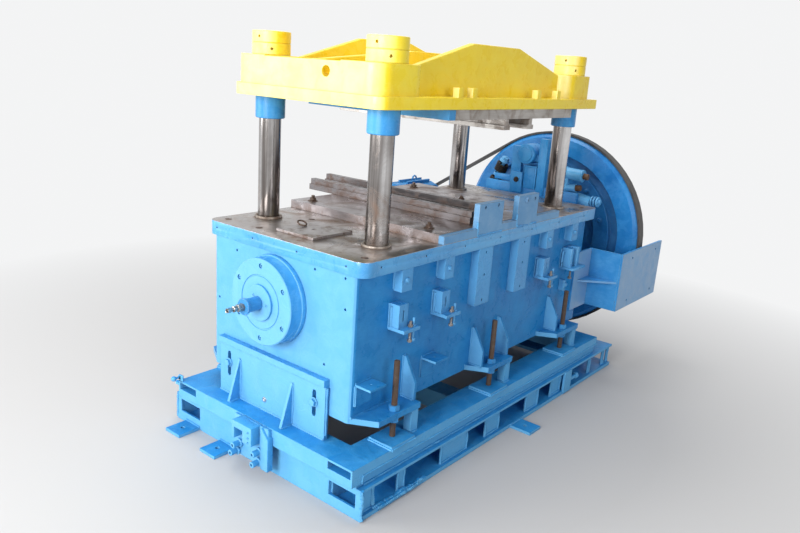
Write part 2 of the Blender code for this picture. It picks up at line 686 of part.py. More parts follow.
def lower_base_frame():
    """The fabricated frame on the floor: two open-sided beams with panels, end beams, a middle tie and lugs."""
    ends = (-LOWER_FRONT, LOWER_REAR)
    length = LOWER_FRONT + LOWER_REAR
    solids, cuts = [], []
    for edge, out in ((LOWER_NEAR, -1), (LOWER_FAR, 1)):
        inner = edge - out * LOWER_BEAM_WIDTH
        solids.append(block(ends, ordered(edge, inner), (0, LOWER_FOOT)))
        solids.append(block(ends, ordered(edge, inner), (LOWER_HEIGHT - LOWER_FLANGE, LOWER_HEIGHT)))
        solids.append(block(ends, ordered(inner, inner + out * LOWER_WEB), (0, LOWER_HEIGHT)))
        face = edge - out * PANEL_INSET
        for start, stop in PANEL_SHARES:
            xs = (ends[0] + start * length, ends[0] + stop * length)
            solids.append(block(xs, ordered(face, face - out * PANEL_DEPTH), (WELD, LOWER_HEIGHT - WELD)))
        middle = ends[0] + CLAMP_BLOCK_SHARE * length
        xs = (middle - CLAMP_BLOCK_LENGTH, middle + CLAMP_BLOCK_LENGTH)
        proud = edge + out * CLAMP_BLOCK_PROUD
        solids.append(block(xs, ordered(proud, edge - out * PANEL_DEPTH), (WELD, LOWER_HEIGHT - WELD)))
        axis = ((proud + face) / 2, LOWER_HEIGHT / 2)
        bolt_end = xs[1] + CLAMP_BOLT_REACH
        solids.append(rod("X", axis, CLAMP_BOLT_RADIUS, (middle, bolt_end), SMALL_SIDES))
        head = (bolt_end - CLAMP_HEAD_HEIGHT, bolt_end)
        solids.append(rod("X", axis, CLAMP_HEAD_RADIUS, head, 6))
        lug = (SIDE_FLOOR_LUG_X - FLOOR_LUG_WIDTH / 2, SIDE_FLOOR_LUG_X + FLOOR_LUG_WIDTH / 2)
        tip = edge + out * FLOOR_LUG_LENGTH
        solids.append(block(lug, ordered(edge - out * PANEL_DEPTH, tip), (0, FLOOR_LUG_THICKNESS)))
        hole = (SIDE_FLOOR_LUG_X, edge + out * FLOOR_LUG_LENGTH / 2)
        cuts.append(rod("Z", hole, FLOOR_LUG_HOLE, (-OVERRUN, OVERRUN), TINY_SIDES))
        opening = edge - out * END_OPENING_MARGIN
        cuts.append(block((ends[0] - OVERRUN, ends[0] + LOWER_WEB + WELD),
                          ordered(opening, opening - out * END_OPENING_WIDTH),
                          (END_OPENING_RISE, END_OPENING_RISE + END_OPENING_HEIGHT)))
    beam_ys = (LOWER_NEAR + LOWER_BEAM_WIDTH - WELD, LOWER_FAR - LOWER_BEAM_WIDTH + WELD)
    for end, into in ((-LOWER_FRONT, 1), (LOWER_REAR, -1)):
        inner = end + into * LOWER_BEAM_WIDTH
        solids.append(block(ordered(end, inner), beam_ys, (0, LOWER_FOOT)))
        solids.append(block(ordered(end, inner), beam_ys, (LOWER_HEIGHT - LOWER_FLANGE, LOWER_HEIGHT)))
    face = LOWER_REAR - PANEL_INSET
    solids.append(block((face - LOWER_WEB, face), beam_ys, (0, LOWER_HEIGHT)))
    solids.append(block((ends[0], ends[0] + LOWER_WEB), (LOWER_NEAR, LOWER_FAR), (0, LOWER_HEIGHT)))
    solids.append(block((-CROSS_WIDTH / 2, CROSS_WIDTH / 2), beam_ys, (0, CROSS_HEIGHT)))
    for y in END_FLOOR_LUG_YS:
        for end, out in ((-LOWER_FRONT, -1), (LOWER_REAR, 1)):
            tip = end + out * FLOOR_LUG_LENGTH
            ys = (y - FLOOR_LUG_WIDTH / 2, y + FLOOR_LUG_WIDTH / 2)
            solids.append(block(ordered(end - out * PANEL_DEPTH, tip), ys, (0, FLOOR_LUG_THICKNESS)))
            hole = (end + out * FLOOR_LUG_LENGTH / 2, y)
            cuts.append(rod("Z", hole, FLOOR_LUG_HOLE, (-OVERRUN, OVERRUN), TINY_SIDES))
    return build("lower_base_frame", BLUE_PAINT, solids, cuts)


def upper_base_frame():
    """The sub-frame on top of it: flat-laid channels with open ends, on strips, with pads and leg blocks."""
    ends = (-UPPER_FRONT, UPPER_REAR)
    channel_bottom = UPPER_TOP - UPPER_CHANNEL_DEPTH
    plate_bottom = UPPER_TOP - FRONT_PLATE_HEIGHT
    solids = [block((ends[0], ends[0] + UPPER_WEB), (BASE_NEAR, BASE_FAR), (plate_bottom, channel_bottom + WELD))]
    for edge, out in sides_of_body(BASE_HALF_WIDTH):
        inner = edge - out * UPPER_BEAM_WIDTH
        solids.append(block(ends, ordered(edge, inner), (UPPER_TOP - UPPER_WEB, UPPER_TOP)))
        solids.append(block(ends, ordered(edge, edge - out * UPPER_WEB), (channel_bottom, UPPER_TOP)))
        solids.append(block(ends, ordered(inner, inner + out * UPPER_WEB), (channel_bottom, UPPER_TOP)))
        strip = edge - out * STRIP_INSET
        solids.append(block((-LOWER_FRONT, UPPER_REAR), ordered(strip, strip - out * STRIP_WIDTH),
                            (UPPER_BOTTOM, channel_bottom + WELD)))
        solids.append(block((-LOWER_FRONT, UPPER_REAR), ordered(strip + out * WELD, strip - out * UPPER_WEB),
                            (channel_bottom - WELD, channel_bottom + UPPER_WEB)))
        solids.append(block(ends, ordered(inner, inner + out * (UPPER_BEAM_WIDTH - STRIP_WIDTH)),
                            (channel_bottom - WELD, channel_bottom + WELD)))
        solids.append(block((ends[0], -LOWER_FRONT + WELD), ordered(edge - out * GAP, inner),
                            (channel_bottom - WELD, channel_bottom + WELD)))
        solids.append(block((ends[0], ends[0] + FRONT_CHEEK), ordered(edge - out * GAP, edge - out * UPPER_WEB),
                            (plate_bottom, channel_bottom + WELD)))
        wall, _ = sides_of_body(HOUSING_HALF_WIDTH)[0 if out < 0 else 1]
        stud_y = wall + out * STUD_REACH
        for x, (_, lug_end, _) in zip(STATION_XS, STATION_LUGS):
            pad = (x - PAD_LENGTH / 2, x + PAD_LENGTH / 2)
            ys = (stud_y - PAD_WIDTH / 2, stud_y + PAD_WIDTH / 2)
            solids.append(block(pad, ys, (UPPER_TOP - WELD, UPPER_TOP + PAD_THICKNESS)))
            leg_end = x + lug_end
            ys = (stud_y - LEG_DEPTH / 2, stud_y + LEG_DEPTH / 2)
            solids.append(block((leg_end - LEG_WIDTH, leg_end), ys, (UPPER_TOP - WELD, HOUSING_BOTTOM - GAP)))
    beam_ys = (BASE_NEAR + UPPER_BEAM_WIDTH - WELD, BASE_FAR - UPPER_BEAM_WIDTH + WELD)
    for end, into, under in ((-UPPER_FRONT, 1, -LOWER_FRONT), (UPPER_REAR, -1, UPPER_REAR)):
        inner = end + into * UPPER_BEAM_WIDTH
        solids.append(block(ordered(end, inner), beam_ys, (UPPER_TOP - UPPER_WEB, UPPER_TOP)))
        solids.append(block(ordered(end, end + into * UPPER_WEB), beam_ys, (channel_bottom, UPPER_TOP)))
        strip = under + into * STRIP_INSET
        solids.append(block(ordered(strip, inner), beam_ys, (UPPER_BOTTOM, UPPER_TOP - UPPER_WEB / 2)))
    bolt = (UPPER_TOP - UPPER_CHANNEL_DEPTH / 2)
    solids.append(rod("Y", (bolt, -UPPER_FRONT + END_BOLT_RADIUS), END_BOLT_RADIUS,
                      (BASE_FAR - UPPER_WEB, BASE_FAR + END_BOLT_REACH), 6))
    return build("upper_base_frame", BLUE_PAINT, solids)


def housing():
    """The welded box under the bed, open above and below, with levelling lugs and angle brackets on its sides."""
    xs = (-HOUSING_FRONT, HOUSING_REAR)
    ys = (NEAR_WALL, FAR_WALL)
    zs = (HOUSING_BOTTOM, HOUSING_TOP)
    solids = [slab("Z", rounded(xs, ys, HOUSING_CORNER), zs)]
    inner_xs = (xs[0] + HOUSING_WALL, xs[1] - HOUSING_WALL)
    inner_ys = (ys[0] + HOUSING_WALL, ys[1] - HOUSING_WALL)
    cuts = [block(inner_xs, inner_ys, (zs[0] - OVERRUN, zs[1] + OVERRUN))]
    for start in (xs[0] - OVERRUN, inner_xs[1] - OVERRUN):
        span = (start, start + HOUSING_WALL + 2 * OVERRUN)
        cuts.append(rod("X", (0, CRANK_Z), BEARING_BORE, span, FINE_SIDES))
    for y, rise in FRONT_HOLES:
        span = (xs[0] - OVERRUN, xs[0] + HOUSING_HOLE_DEPTH)
        cuts.append(rod("X", (y, CRANK_Z + rise), HOUSING_HOLE, span, TINY_SIDES))
    for wall, out in sides_of_body(HOUSING_HALF_WIDTH):
        root = wall - out * WELD
        tip = wall + out * LUG_REACH
        for x, (start, stop, gussets) in zip(STATION_XS, STATION_LUGS):
            lug = [(x + start, root), (x + stop, root), (x + stop, tip), (x + start + LUG_TAPER, tip)]
            solids.append(slab("Z", lug, (HOUSING_BOTTOM, HOUSING_BOTTOM + LUG_THICKNESS)))
            for offset in gussets:
                foot = HOUSING_BOTTOM + LUG_THICKNESS - WELD
                shoulder = wall + out * STUD_REACH
                outline = [(root, foot), (shoulder, foot), (shoulder, foot + GUSSET_SHOULDER),
                           (wall + out * GUSSET_THICKNESS, foot + GUSSET_RISE), (root, foot + GUSSET_RISE)]
                stop_x = x + offset
                solids.append(slab("X", outline, (stop_x - GUSSET_THICKNESS, stop_x)))
            stud_y = wall + out * STUD_REACH
            span = (HOUSING_BOTTOM - OVERRUN, HOUSING_BOTTOM + LUG_THICKNESS + OVERRUN)
            cuts.append(rod("Z", (x, stud_y), STUD_RADIUS + GAP, span, SMALL_SIDES))
    top = HOUSING_BOTTOM + ANGLE_RISE
    root, tip = NEAR_WALL + WELD, NEAR_WALL - ANGLE_REACH
    for x in ANGLE_XS:
        start, stop = x - ANGLE_LENGTH / 2, x + ANGLE_LENGTH / 2
        solids.append(block((start, stop), (tip, root), (top - ANGLE_THICKNESS, top)))
        solids.append(block((start, stop), (NEAR_WALL - ANGLE_THICKNESS, root), (top - ANGLE_DROP, top)))
        hole = (x, (NEAR_WALL + tip) / 2)
        cuts.append(rod("Z", hole, ANGLE_HOLE, (top - OVERRUN, top + OVERRUN), TINY_SIDES))
    return build("housing", BLUE_PAINT, solids, cuts)


def levelling_stud(number, x, wall, out):
    """A threaded stud standing on its pad, with a nut above and below the lug."""
    y = wall + out * STUD_REACH
    bottom = UPPER_TOP + PAD_THICKNESS + GAP
    lug_bottom, lug_top = HOUSING_BOTTOM - GAP, HOUSING_BOTTOM + LUG_THICKNESS + GAP
    solids = [rod("Z", (x, y), STUD_RADIUS, (bottom, bottom + STUD_HEIGHT), SMALL_SIDES),
              rod("Z", (x, y), NUT_RADIUS, (lug_top, lug_top + NUT_HEIGHT), 6),
              rod("Z", (x, y), NUT_RADIUS, (lug_bottom - NUT_HEIGHT, lug_bottom), 6)]
    return build(f"levelling_stud_{number}", RUSTY_STEEL, solids)


def bed_plate():
    xs, ys = (-BED_FRONT, BED_REAR), (NEAR_EDGE, FAR_EDGE)
    solids = [slab("Z", rounded(xs, ys, BED_CORNER), (BED_BOTTOM, BED_TOP))]
    cuts = [rod("Z", (x, y), BUSHING_RADIUS + GAP, (BED_BOTTOM - OVERRUN, BED_TOP + OVERRUN))
            for x in PILLAR_XS for y in PILLAR_YS]
    return build("bed_plate", WORN_STEEL, solids, cuts)


def bolster_plate():
    ys = (NEAR_EDGE + SIDE_BAR_THICKNESS + GAP, FAR_EDGE - BOLSTER_BACK_MARGIN)
    return build("bolster_plate", WORN_STEEL,
                 [block((-BOLSTER_FRONT, BOLSTER_REAR), ys, (BED_TOP + GAP, BOLSTER_TOP))])


def lower_die_rail(number, x, start):
    """A stepped rail across the bolster, reaching past the far edge of the bed."""
    foot, neck = RAIL_FOOT_WIDTH / 2, RAIL_TOP_WIDTH / 2
    base = BOLSTER_TOP + GAP
    shoulder, top = base + RAIL_FOOT_HEIGHT, base + RAIL_FOOT_HEIGHT + RAIL_TOP_HEIGHT
    outline = [(base, x - foot), (base, x + foot), (shoulder, x + foot), (shoulder, x + neck),
               (top, x + neck), (top, x - neck), (shoulder, x - neck), (shoulder, x - foot)]
    return build(f"lower_die_rail_{number}", WORN_STEEL, [slab("Y", outline, (start, start + RAIL_LENGTH))])


def loose_cover_plate():
    """A small plate lying on the bed, with a ring to lift it by."""
    base = BED_TOP + GAP
    top = base + COVER_THICKNESS
    xs = (COVER_X - COVER_LENGTH / 2, COVER_X + COVER_LENGTH / 2)
    ys = (COVER_Y - COVER_WIDTH / 2, COVER_Y + COVER_WIDTH / 2)
    ring_y = ys[1] - COVER_RING_RADIUS
    solids = [block(xs, ys, (base, top)),
              ring_bar("Z", (COVER_X, ring_y), top, COVER_RING_RADIUS, COVER_RING_BAR)]
    cuts = [rod("Z", (COVER_X, COVER_Y), COVER_HOLE, (base - OVERRUN, top + OVERRUN), SMALL_SIDES)]
    return build("loose_cover_plate", WORN_STEEL, solids, cuts)


def side_post(number, x):
    """A bar down the housing's near side, flush with the bed's edge and drilled for a feed unit."""
    top = BED_BOTTOM - GAP
    xs = (x - POST_WIDTH / 2, x + POST_WIDTH / 2)
    ys = (NEAR_EDGE, NEAR_WALL - GAP)
    cuts = [rod("Y", (top - share * POST_HEIGHT, x), POST_HOLE,
                (ys[0] - OVERRUN, ys[0] + POST_HOLE_DEPTH), TINY_SIDES) for share in POST_HOLE_SHARES]
    return build(f"side_post_{number}", BLUE_PAINT, [block(xs, ys, (top - POST_HEIGHT, top))], cuts)


def side_bar():
    """The strip along the bolster's near edge, with two upright lugs, each drilled twice."""
    base = BED_TOP + GAP
    ys = (NEAR_EDGE + GAP, NEAR_EDGE + SIDE_BAR_THICKNESS)
    solids = [block((-BOLSTER_FRONT, BOLSTER_REAR), ys, (base, base + SIDE_BAR_HEIGHT))]
    cuts = []
    for (x, width, rise, drop), shares in zip(SIDE_LUGS, SIDE_LUG_HOLE_SHARES):
        start, top = x - width / 2, BED_TOP + rise
        solids.append(block((start, start + width), ys, (base + WELD, top)))
        cuts += [rod("Y", (top - drop, start + share * width), SIDE_LUG_HOLE,
                     (ys[0] - OVERRUN, ys[1] + OVERRUN), SMALL_SIDES) for share in shares]
    return build("side_bar", BLUE_PAINT, solids, cuts)


def upper_side_bracket(number, x):
    top = BED_BOTTOM - GAP
    xs = (x - UPPER_BRACKET_WIDTH / 2, x + UPPER_BRACKET_WIDTH / 2)
    ys = (NEAR_EDGE, NEAR_WALL - GAP)
    hole = (top - UPPER_BRACKET_HEIGHT / 2, x)
    cuts = [rod("Y", hole, UPPER_BRACKET_HOLE, (ys[0] - OVERRUN, ys[0] + POST_HOLE_DEPTH), TINY_SIDES)]
    return build(f"upper_side_bracket_{number}", BLUE_PAINT, [block(xs, ys, (top - UPPER_BRACKET_HEIGHT, top))], cuts)


def lower_side_bracket(number, x):
    """A block with a slotted face and a foot that holds an upright adjusting screw."""
    top = BED_BOTTOM - LOWER_BRACKET_TOP
    bottom = top - LOWER_BRACKET_HEIGHT
    back = NEAR_WALL - GAP
    face = back - LOWER_BRACKET_DEPTH
    start = x - FOOT_WIDTH / 2
    xs = (start, start + LOWER_BRACKET_WIDTH)
    solids = [block(xs, (face, back), (bottom, top)),
              block((start - WELD, start + FOOT_WIDTH), (back - FOOT_REACH, back), (bottom, bottom + FOOT_THICKNESS))]
    screw = (start + FOOT_WIDTH - SCREW_EDGE, back - FOOT_REACH + SCREW_EDGE)
    low = bottom - SCREW_HEIGHT / 2
    solids.append(rod("Z", screw, SCREW_RADIUS, (low, low + SCREW_HEIGHT), TINY_SIDES))
    solids.append(rod("Z", screw, SCREW_HEAD_RADIUS, (low, low + SCREW_HEAD_HEIGHT), 6))
    nut = bottom + FOOT_THICKNESS - WELD
    solids.append(rod("Z", screw, SCREW_HEAD_RADIUS, (nut, nut + SCREW_HEAD_HEIGHT), 6))
    middle = ((xs[0] + xs[1]) / 2, (top + bottom + FOOT_THICKNESS) / 2)
    outline = [(z, x_place) for x_place, z in slot(middle, LOWER_BRACKET_SLOT, LOWER_BRACKET_SLOT_LENGTH)]
    cuts = [slab("Y", outline, (face - OVERRUN, face + LOWER_BRACKET_SLOT_DEPTH))]
    return build(f"lower_side_bracket_{number}", BLUE_PAINT, solids, cuts)


def front_support_plate():
    """The upright plate that ties the housing's front to the base, with a ledge, gussets, slots and bolts."""
    back = -HOUSING_FRONT - GAP
    face = back - SUPPORT_THICKNESS
    base = UPPER_TOP + GAP
    top = base + SUPPORT_HEIGHT
    solids = [block((face, back), (-SUPPORT_HALF_WIDTH, SUPPORT_HALF_WIDTH), (base, top)),
              block((back - SUPPORT_LEDGE_DEPTH, back), (-SUPPORT_HALF_WIDTH, SUPPORT_HALF_WIDTH),
                    (top - WELD, top - WELD + SUPPORT_LEDGE_RISE))]
    for y in SUPPORT_GUSSET_YS:
        outline = [(face + WELD, base), (face + WELD, base + SUPPORT_GUSSET_RISE),
                   (face - WELD, base + SUPPORT_GUSSET_RISE), (face - SUPPORT_GUSSET_REACH, base)]
        flipped = [(z, x) for x, z in outline]
        solids.append(slab("Y", flipped, (y - SUPPORT_GUSSET_THICKNESS / 2, y + SUPPORT_GUSSET_THICKNESS / 2)))
    cuts = []
    slot_z = top - SUPPORT_SLOT_DROP - SUPPORT_SLOT_LENGTH / 2
    slot_y = SUPPORT_HALF_WIDTH - SUPPORT_SLOT_MARGIN
    for y in (-slot_y, slot_y):
        outline = slot((y, slot_z), SUPPORT_SLOT_WIDTH, SUPPORT_SLOT_LENGTH)
        cuts.append(slab("X", outline, (face - OVERRUN, back + OVERRUN)))
    plate = build("front_support_plate", BLUE_PAINT, solids, cuts)
    return plate


def front_clamp_bracket():
    """A bolted bracket at the middle of the base's front: a back plate, a chamfered cheek, a block and screws."""
    back = -UPPER_FRONT - GAP
    plate = back - CLAMP_PLATE
    top = UPPER_TOP - CLAMP_DROP
    base = top - CLAMP_HEIGHT
    solids = [block((plate, back), (-CLAMP_NEAR, CLAMP_FAR), (base + WELD, top))]
    block_xs = (back - CLAMP_BLOCK_REACH, back - WELD)
    near, far = CLAMP_BLOCK_YS
    low, high = top - CLAMP_BLOCK_HEIGHT, top + WELD
    solids.append(block(block_xs, (near, CLAMP_SLOT_YS[0]), (low, high)))
    solids.append(block(block_xs, (CLAMP_SLOT_YS[1], far), (low, high)))
    solids.append(block(block_xs, CLAMP_BLOCK_YS, (high - CLAMP_BRIDGE, high)))
    near, far = CLAMP_CHEEK_YS
    outline = [(far, base), (far, high), (near + CLAMP_CHAMFER, high), (near, high - CLAMP_CHAMFER), (near, base)]
    solids.append(slab("X", outline, (back - CLAMP_CHEEK, back)))
    for y, rise in CLAMP_SCREWS:
        centre = (y, base + rise)
        solids.append(rod("X", centre, CLAMP_WASHER_RADIUS, (plate - CLAMP_WASHER, plate + WELD), SMALL_SIDES))
        solids.append(rod("X", centre, CLAMP_SCREW_RADIUS, (plate - CLAMP_SCREW_HEIGHT, plate + WELD), SMALL_SIDES))
    return build("front_clamp_bracket", BLUE_PAINT, solids)


def guide_bushing(number, x, y):
    """A flanged bushing in the bed that a pillar slides in."""
    bore = PILLAR_RADIUS + RUNNING_GAP
    low, seat = BED_BOTTOM - BUSHING_TAIL, BED_TOP + GAP
    profile = [(bore, low), (BUSHING_RADIUS, low), (BUSHING_RADIUS, seat), (BUSHING_FLANGE_RADIUS, seat),
               (BUSHING_FLANGE_RADIUS, seat + BUSHING_FLANGE_HEIGHT), (bore, seat + BUSHING_FLANGE_HEIGHT)]
    return build(f"guide_bushing_{number}", POLISHED_STEEL, [turned("Z", (x, y), profile, hollow=True)])


def pillar(number, x, y):
    """A ground pillar, turned down at both ends for the crosshead and for the platen and its nuts."""
    low = CROSSHEAD_BOTTOM - TAIL_LENGTH
    top = NUT_TOP - SPINDLE_TOP_INSET
    shoulder, seat = CROSSHEAD_TOP + GAP, PLATEN_BOTTOM - GAP
    profile = [(TAIL_RADIUS, low), (TAIL_RADIUS, shoulder), (PILLAR_RADIUS, shoulder), (PILLAR_RADIUS, seat),
               (SPINDLE_RADIUS, seat), (SPINDLE_RADIUS, top)]
    return build(f"pillar_{number}", POLISHED_STEEL, [turned("Z", (x, y), profile)])


def pillar_collar(number, x, y):
    """The painted sleeve round a pillar, under the platen."""
    bore, top = PILLAR_RADIUS + GAP, PLATEN_BOTTOM - GAP
    low = top - COLLAR_HEIGHT
    profile = [(bore, low), (COLLAR_RADIUS - COLLAR_BEVEL, low), (COLLAR_RADIUS, low + COLLAR_BEVEL),
               (COLLAR_RADIUS, top), (bore, top)]
    return build(f"pillar_collar_{number}", BLUE_PAINT, [turned("Z", (x, y), profile, hollow=True)])


def pillar_nut(number, x, y):
    """Two round spanner nuts locked against each other on a pillar's end, with a seam and pin holes."""
    bore, middle = SPINDLE_RADIUS + GAP, (NUT_BOTTOM + NUT_TOP) / 2
    outer, seam = NUT_PAIR_RADIUS, NUT_SEAM
    profile = [(bore, NUT_BOTTOM), (outer, NUT_BOTTOM), (outer, middle - seam), (outer - seam, middle),
               (outer, middle + seam), (outer, NUT_TOP), (bore, NUT_TOP)]
    cuts = []
    for share, turn in zip(NUT_HOLE_SHARES, NUT_HOLE_TURNS):
        z = NUT_BOTTOM + share * NUT_PAIR_HEIGHT
        for way in (0, math.pi):
            hole = rod("X", (y, z), NUT_HOLE, (x + outer - NUT_HOLE_DEPTH, x + outer + OVERRUN), TINY_SIDES)
            turn_about(hole, x, y, turn + way)
            cuts.append(hole)
    return build(f"pillar_nut_{number}", YELLOW_PAINT, [turned("Z", (x, y), profile, hollow=True)], cuts)


def turn_about(piece, x, y, angle):
    """Turns a working shape about an upright line."""
    for vertex in piece.data.vertices:
        dx, dy = vertex.co.x - x, vertex.co.y - y
        vertex.co.x = x + dx * math.cos(angle) - dy * math.sin(angle)
        vertex.co.y = y + dx * math.sin(angle) + dy * math.cos(angle)


def tilt_about(piece, y, z, angle):
    """Turns a working shape about a line along X."""
    for vertex in piece.data.vertices:
        dy, dz = vertex.co.y - y, vertex.co.z - z
        vertex.co.y = y + dy * math.cos(angle) - dz * math.sin(angle)
        vertex.co.z = z + dy * math.sin(angle) + dz * math.cos(angle)


def upper_platen():
    """The cast head: a plate, four corner bosses, two end walls and three humped ribs between the bosses."""
    xs, ys = (-PLATEN_FRONT, PLATEN_REAR), (-PLATEN_NEAR, PLATEN_FAR)
    root = PLATEN_TOP - WELD
    plate = rounded(xs, ys, PLATEN_CORNER, PLATEN_REAR_CORNER)
    solids = [slab("Z", plate, (PLATEN_BOTTOM, PLATEN_TOP))]
    solids += [slab("Z", boss_outline(x, y), (root, BOSS_TOP)) for x in PILLAR_XS for y in PILLAR_YS]
    outer, inner = PILLAR_XS[1] + BOSS_END, PILLAR_XS[1] - BOSS_INNER_END
    wall_ys = (PILLAR_YS[0] + RIB_THICKNESS, PILLAR_YS[1] - RIB_THICKNESS)
    for way in (-1, 1):
        end_wall = ordered(way * outer, way * (outer - END_WALL))
        solids.append(block(end_wall, wall_ys, (root, BOSS_TOP - WELD)))
    shoulder, peak = BOSS_TOP - WELD, BOSS_TOP + RIB_PEAK
    overlap = PILLAR_XS[1]
    outline = [(root, -overlap), (shoulder, -overlap), (shoulder, -inner), (peak, -RIB_FLAT_HALF),
               (peak, RIB_FLAT_HALF), (shoulder, inner), (shoulder, overlap), (root, overlap)]
    for y in PILLAR_YS:
        solids.append(slab("Y", outline, (y - RIB_THICKNESS / 2, y + RIB_THICKNESS / 2)))
    shoulder, peak, end = BOSS_TOP - 2 * WELD, BOSS_TOP + MIDDLE_RIB_PEAK, outer - END_WALL / 2
    outline = [(root, -end), (shoulder, -end), (peak, -RIB_FLAT_HALF), (peak, RIB_FLAT_HALF),
               (shoulder, end), (root, end)]
    solids.append(slab("Y", outline, (-RIB_THICKNESS / 2, RIB_THICKNESS / 2)))
    for x in PLATE_LUG_XS:
        lug = (x - PLATE_LUG_WIDTH / 2, x + PLATE_LUG_WIDTH / 2)
        lug_ys = (ys[0] + WELD, ys[0] + PLATE_LUG_DEPTH)
        solids.append(block(lug, lug_ys, (root, PLATEN_TOP + PLATE_LUG_HEIGHT)))
    cuts = [rod("Z", (x, y), SPINDLE_RADIUS + GAP, (PLATEN_BOTTOM - OVERRUN, BOSS_TOP + OVERRUN))
            for x in PILLAR_XS for y in PILLAR_YS]
    hole = (END_WALL_HOLE_Y, BOSS_TOP - END_WALL_HOLE_DROP)
    cuts.append(rod("X", hole, END_WALL_HOLE, (-outer - OVERRUN, END_WALL - outer + OVERRUN), ROUND_SIDES))
    return build("upper_platen", YELLOW_PAINT, solids, cuts)


def boss_outline(x, y):
    """A pillar's boss seen from above, with large rounds at both corners on the platen's long side."""
    to_x, to_y = math.copysign(1, x), math.copysign(1, y)
    side = y + to_y * BOSS_SIDE
    ends = (x + to_x * BOSS_END, x - to_x * BOSS_INNER_END)
    outline = [(ends[0], y - to_y * BOSS_INNER_SIDE)]
    for step in range(CORNER_STEPS + 1):
        turn = math.pi / 2 * step / CORNER_STEPS
        outline.append((ends[0] - to_x * BOSS_CORNER * (1 - math.cos(turn)),
                        side - to_y * BOSS_CORNER * (1 - math.sin(turn))))
    for step in range(CORNER_STEPS + 1):
        turn = math.pi / 2 * step / CORNER_STEPS
        outline.append((ends[1] + to_x * BOSS_CORNER * (1 - math.sin(turn)),
                        side - to_y * BOSS_CORNER * (1 - math.cos(turn))))
    outline.append((ends[1], y - to_y * BOSS_INNER_SIDE))
    return outline


def upper_die_plate():
    """The plate bolted under the platen, with two T-shaped rails across it."""
    ys = (-PLATEN_NEAR + DIE_PLATE_MARGIN, PLATEN_FAR - DIE_PLATE_MARGIN)
    solids = [block((-DIE_PLATE_FRONT, DIE_PLATE_REAR), ys, (DIE_PLATE_BOTTOM, DIE_PLATE_TOP))]
    lip, neck = UPPER_RAIL_WIDTH / 2, UPPER_RAIL_NECK / 2
    low = DIE_PLATE_BOTTOM - UPPER_RAIL_HEIGHT
    step, root = low + UPPER_RAIL_LIP, DIE_PLATE_BOTTOM + WELD
    for x in UPPER_RAIL_XS:
        outline = [(low, x - lip), (low, x + lip), (step, x + lip), (step, x + neck),
                   (root, x + neck), (root, x - neck), (step, x - neck), (step, x - lip)]
        span = (UPPER_RAIL_START_Y, UPPER_RAIL_START_Y + RAIL_LENGTH)
        solids.append(slab("Y", outline, span))
    return build("upper_die_plate", POLISHED_STEEL, solids)


def die_spacer():
    ys = (-PLATEN_NEAR + DIE_PLATE_MARGIN, PLATEN_FAR - DIE_PLATE_MARGIN)
    stop = -DIE_PLATE_FRONT - GAP
    return build("die_spacer", BLUE_PAINT, [block((stop - SPACER_LENGTH, stop), ys, (DIE_PLATE_BOTTOM, DIE_PLATE_TOP))])


def lower_crosshead():
    """The beam inside the housing that joins the pillars' lower ends and hangs on the rods."""
    xs, ys = (-CROSSHEAD_HALF_LENGTH, CROSSHEAD_HALF_LENGTH), (-CROSSHEAD_NEAR, CROSSHEAD_FAR)
    solids = [slab("Z", rounded(xs, ys, CROSSHEAD_CORNER), (CROSSHEAD_BOTTOM, CROSSHEAD_TOP))]
    cuts = [rod("Z", (x, y), TAIL_RADIUS + GAP, (CROSSHEAD_BOTTOM - OVERRUN, CROSSHEAD_TOP + OVERRUN))
            for x in PILLAR_XS for y in PILLAR_YS]
    root = CROSSHEAD_TOP - WELD
    for x in ROD_XS:
        for way in (-1, 1):
            inner = x + way * (ROD_THICKNESS / 2 + RUNNING_GAP)
            outline = [(-EAR_HALF_WIDTH, root), (EAR_HALF_WIDTH, root)] + [
                (y, z) for y, z in circle((0, WRIST_Z), EAR_HALF_WIDTH, SMALL_SIDES) if z >= WRIST_Z - GAP]
            solids.append(slab("X", outline, ordered(inner, inner + way * EAR_THICKNESS)))
        reach = ROD_THICKNESS / 2 + EAR_THICKNESS + OVERRUN
        cuts.append(rod("X", (0, WRIST_Z), WRIST_RADIUS + GAP, (x - reach, x + reach)))
    return build("lower_crosshead", CAST_IRON, solids, cuts)


def connecting_rod(number, x):
    """A rod with its strap round the crankshaft's sheave and its wrist pin pressed into the lower eye."""
    top_z = CRANK_Z + CRANK_THROW
    eye_width = SHEAVE_RADIUS + CRANK_THROW + ROD_EYE_SLACK
    eye_height = SHEAVE_RADIUS + CRANK_THROW * ROD_EYE_RISE_SHARE + ROD_EYE_SLACK
    half = ROD_THICKNESS / 2
    span = (x - half, x + half)
    solids = [slab("X", oval((0, top_z), eye_width + ROD_STRAP, eye_height + ROD_STRAP), span),
              block(span, (-ROD_SHANK_HALF_WIDTH, ROD_SHANK_HALF_WIDTH), (WRIST_Z, top_z - eye_height)),
              rod("X", (0, WRIST_Z), WRIST_EYE, span),
              rod("X", (0, WRIST_Z), WRIST_RADIUS, (span[0] - EAR_THICKNESS, span[1] + EAR_THICKNESS))]
    cuts = [slab("X", oval((0, top_z), eye_width, eye_height), (span[0] - OVERRUN, span[1] + OVERRUN))]
    return build(f"connecting_rod_{number}", CAST_IRON, solids, cuts)


